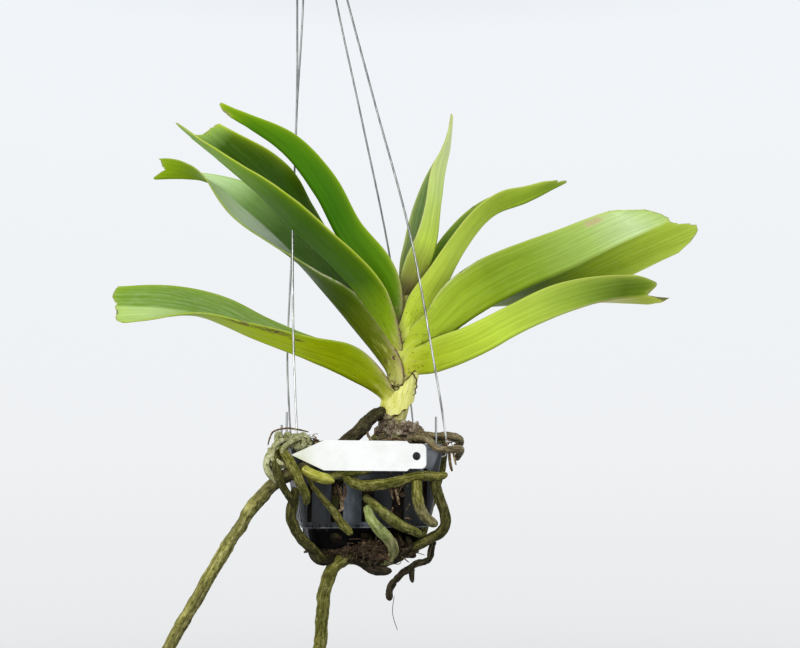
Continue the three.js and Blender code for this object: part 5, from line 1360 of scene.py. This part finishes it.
def build_mix():
    """The wet medium, which fills the basket to a rough heap with chips on it, and the bark."""
    clear = WALL + 2 * GAP
    top_half = WALL_TOP_HALF + (WALL_LOW_HALF - WALL_TOP_HALF) * FILL_TOP_Z / STEP_Z - clear
    low_half, low_z = WALL_LOW_HALF - clear, STEP_Z + 4.6
    foot_half, bottom = TIER_LOW_HALF - clear, FLOOR_Z + WALL + 0.1
    rows = [(FILL_CENTRE_HALF, bottom, 1.0), (foot_half - 0.6, bottom, 5), (foot_half, bottom + 0.5, 5),
            (TIER_TOP_HALF - clear, STEP_Z + 2, 5), (low_half, low_z, 5)]
    for share in np.arange(1, 12) / 12:
        wall_z = low_z + (FILL_TOP_Z - low_z) * share
        rows.append((low_half + (top_half - low_half) * share, wall_z, 6 + 4 * share))
    for share in np.linspace(0, 1, HEAP_ROWS):
        heap_z = FILL_TOP_Z + FILL_HEAP * math.sin(share * math.pi / 2)
        half = top_half + (FILL_CENTRE_HALF - top_half) * share
        rows.append((half, heap_z, max(1.0, 11 * (1 - share))))
    rings = []
    for half, z, corner in rows:
        ring = np.array(rounded_square(half, z, min(corner, half * 0.9), steps=5))
        ahead = np.roll(ring, -1, axis=0)
        rings.append(np.vstack([np.linspace(a, b, 5, endpoint=False) for a, b in zip(ring, ahead)]))
    grid = np.array(rings)
    push = uneven(grid / 5.0, 41) * 1.1
    grid = grid - unit(grid * [1, 1, 0] + 1e-6) * np.abs(push)[..., None] * 0.9
    grid[-HEAP_ROWS:, :, 2] += push[-HEAP_ROWS:]
    piece = Piece()
    piece.add(pot_points(grid.reshape(-1, 3)), ring_faces(len(rings), grid.shape[1]))
    chips = np.random.default_rng(15)
    for seed in range(200, 200 + MIX_CHIPS):
        x, y = chips.uniform(-MIX_REACH, MIX_REACH, 2)
        size = chips.uniform(2.0, 4.6)
        radii = [size, size * chips.uniform(0.5, 0.8), size * chips.uniform(0.35, 0.6)]
        place = pot_points([x, y, fill_height(x, y, top_half)])
        piece.add_lump(place, radii, seed, 0.4, 1.2, detail=2, turn=chips.uniform(0, 3))
    crumbs = wood_look("mix_crumbs", (8, 6, 4), (28, 21, 15), (84, 68, 50), moss=0.2)
    piece.build("wet_mix", crumbs, ["potting_mix"])
    bark = wood_look("bark_grain", (36, 26, 18), (84, 64, 46), (140, 116, 88))
    for seed, (name, (place, size, turn)) in enumerate(BARK_CHIPS.items(), 31):
        piece = Piece()
        piece.add_lump(place, np.array(size) * 0.95, seed, 0.35, 1.4, turn=turn)
        piece.build(name.replace("bark", "wood"), bark, [name])


def build_clump():
    """Dark fibre under the foot of the basket, with the loops of old roots in it."""
    piece = Piece()
    for seed, (place, radii) in enumerate(CLUMP_LUMPS, 300):
        piece.add_lump(place, radii, seed, 0.45, 1.9)
    loops = Piece()
    for seed, (radius, points) in enumerate(OLD_LOOPS, 320):
        loops.add_root(points, radius, [0.9, 1.1, 1, 0.9], 1.6, seed)
    loops.build("old_loops", root_look("old_loop", LOOP_BROWN))
    strands = np.random.default_rng(8)
    for _ in range(CLUMP_STRANDS):
        start = np.array([5, -37, -60]) + strands.normal(0, 1, 3) * [8, 2.5, 2.6]
        drift = strands.normal(0, 1, 3) * [4.5, 1.6, 3]
        middle = start + drift / 2 + strands.normal(0, 1, 3)
        piece.add_strand([start, middle, start + drift], strands.uniform(0.2, 0.5))
    fibre = wood_look("husk_fibre", (16, 12, 8), (58, 44, 30), (128, 108, 80))
    piece.build("husk", fibre, ["fibre_clump"])


def build_litter():
    """Dry bits caught on the rim and among the roots, which are part of the medium."""
    piece = Piece()
    for radius, points in DRY_BITS:
        piece.add_strand(points, radius)
    numbers = np.random.default_rng(21)
    for centre, reach, count in LITTER_SPOTS:
        for _ in range(count):
            start = centre + numbers.normal(0, 1, 3) * reach
            drift = numbers.normal(0, 1, 3) * reach * 1.1
            bow = numbers.normal(0, 1.3, 3)
            points = [start, start + drift * 0.3 + bow, start + drift * 0.7 + bow * 0.8, start + drift]
            piece.add_strand(points, numbers.uniform(0.16, 0.5))
    look = wood_look("dry_litter", (30, 21, 13), (92, 68, 44), (206, 188, 150))
    piece.build("husk_litter", look)


# Room
def build_room():
    corners = [(x * FLOOR_REACH, y * FLOOR_REACH, -FLOOR_DEPTH)
               for x, y in [(-1, -1), (1, -1), (1, 1), (-1, 1)]]
    mesh = bpy.data.meshes.new("floor")
    mesh.from_pydata(corners, [], [(0, 1, 2, 3)])
    look = Look("floor_paint", roughness=0.9, specular=0.1)
    look.colour = look.ramp(look.noise(look.place(), 0.002, 2), (0.3, 240, 241, 242), (0.7, 246, 247, 248))
    mesh.materials.append(look.finish())
    show(bpy.data.objects.new("floor", mesh))

    world = bpy.data.worlds.new("studio")
    bpy.context.scene.world = world
    world.use_nodes = True
    sky = Nodes(world.node_tree)
    height = sky.part(sky.out("ShaderNodeTexCoord", "Generated"), "Z")
    sky.put(sky.tree.nodes["Background"].inputs["Color"], sky.ramp(height * 0.5 + 0.5, *SKY))

    target = Vector(in_frame([5, 0, 60]))
    for name, place, power, size, colour in LIGHTS:
        light = bpy.data.lights.new(name, "AREA")
        light.energy, light.size, light.color = power, size, colour
        holder = show(bpy.data.objects.new(name, light))
        holder.location = place
        holder.rotation_euler = (target - Vector(place)).to_track_quat("-Z", "Y").to_euler()


def build_camera():
    lens = bpy.data.cameras.new("camera")
    lens.lens, lens.sensor_width, lens.sensor_fit = CAMERA_LENS, 36, "HORIZONTAL"
    lens.clip_start, lens.clip_end = 0.01, 50
    camera = show(bpy.data.objects.new("camera", lens))
    camera.location = in_frame(CAMERA_PLACE)
    camera.rotation_euler = (math.radians(90 + CAMERA_PITCH), 0, 0)
    bpy.context.scene.camera = camera


build_camera()
build_room()
for seed, name in enumerate(LEAVES, 1):
    build_leaf(name, seed)
build_stem()
build_sheath()
build_rootstock()
build_roots()
build_knobs()
build_basket()
build_wires()
build_tag()
build_mix()
build_clump()
build_litter()
bpy.context.scene.view_settings.view_transform = "Standard"
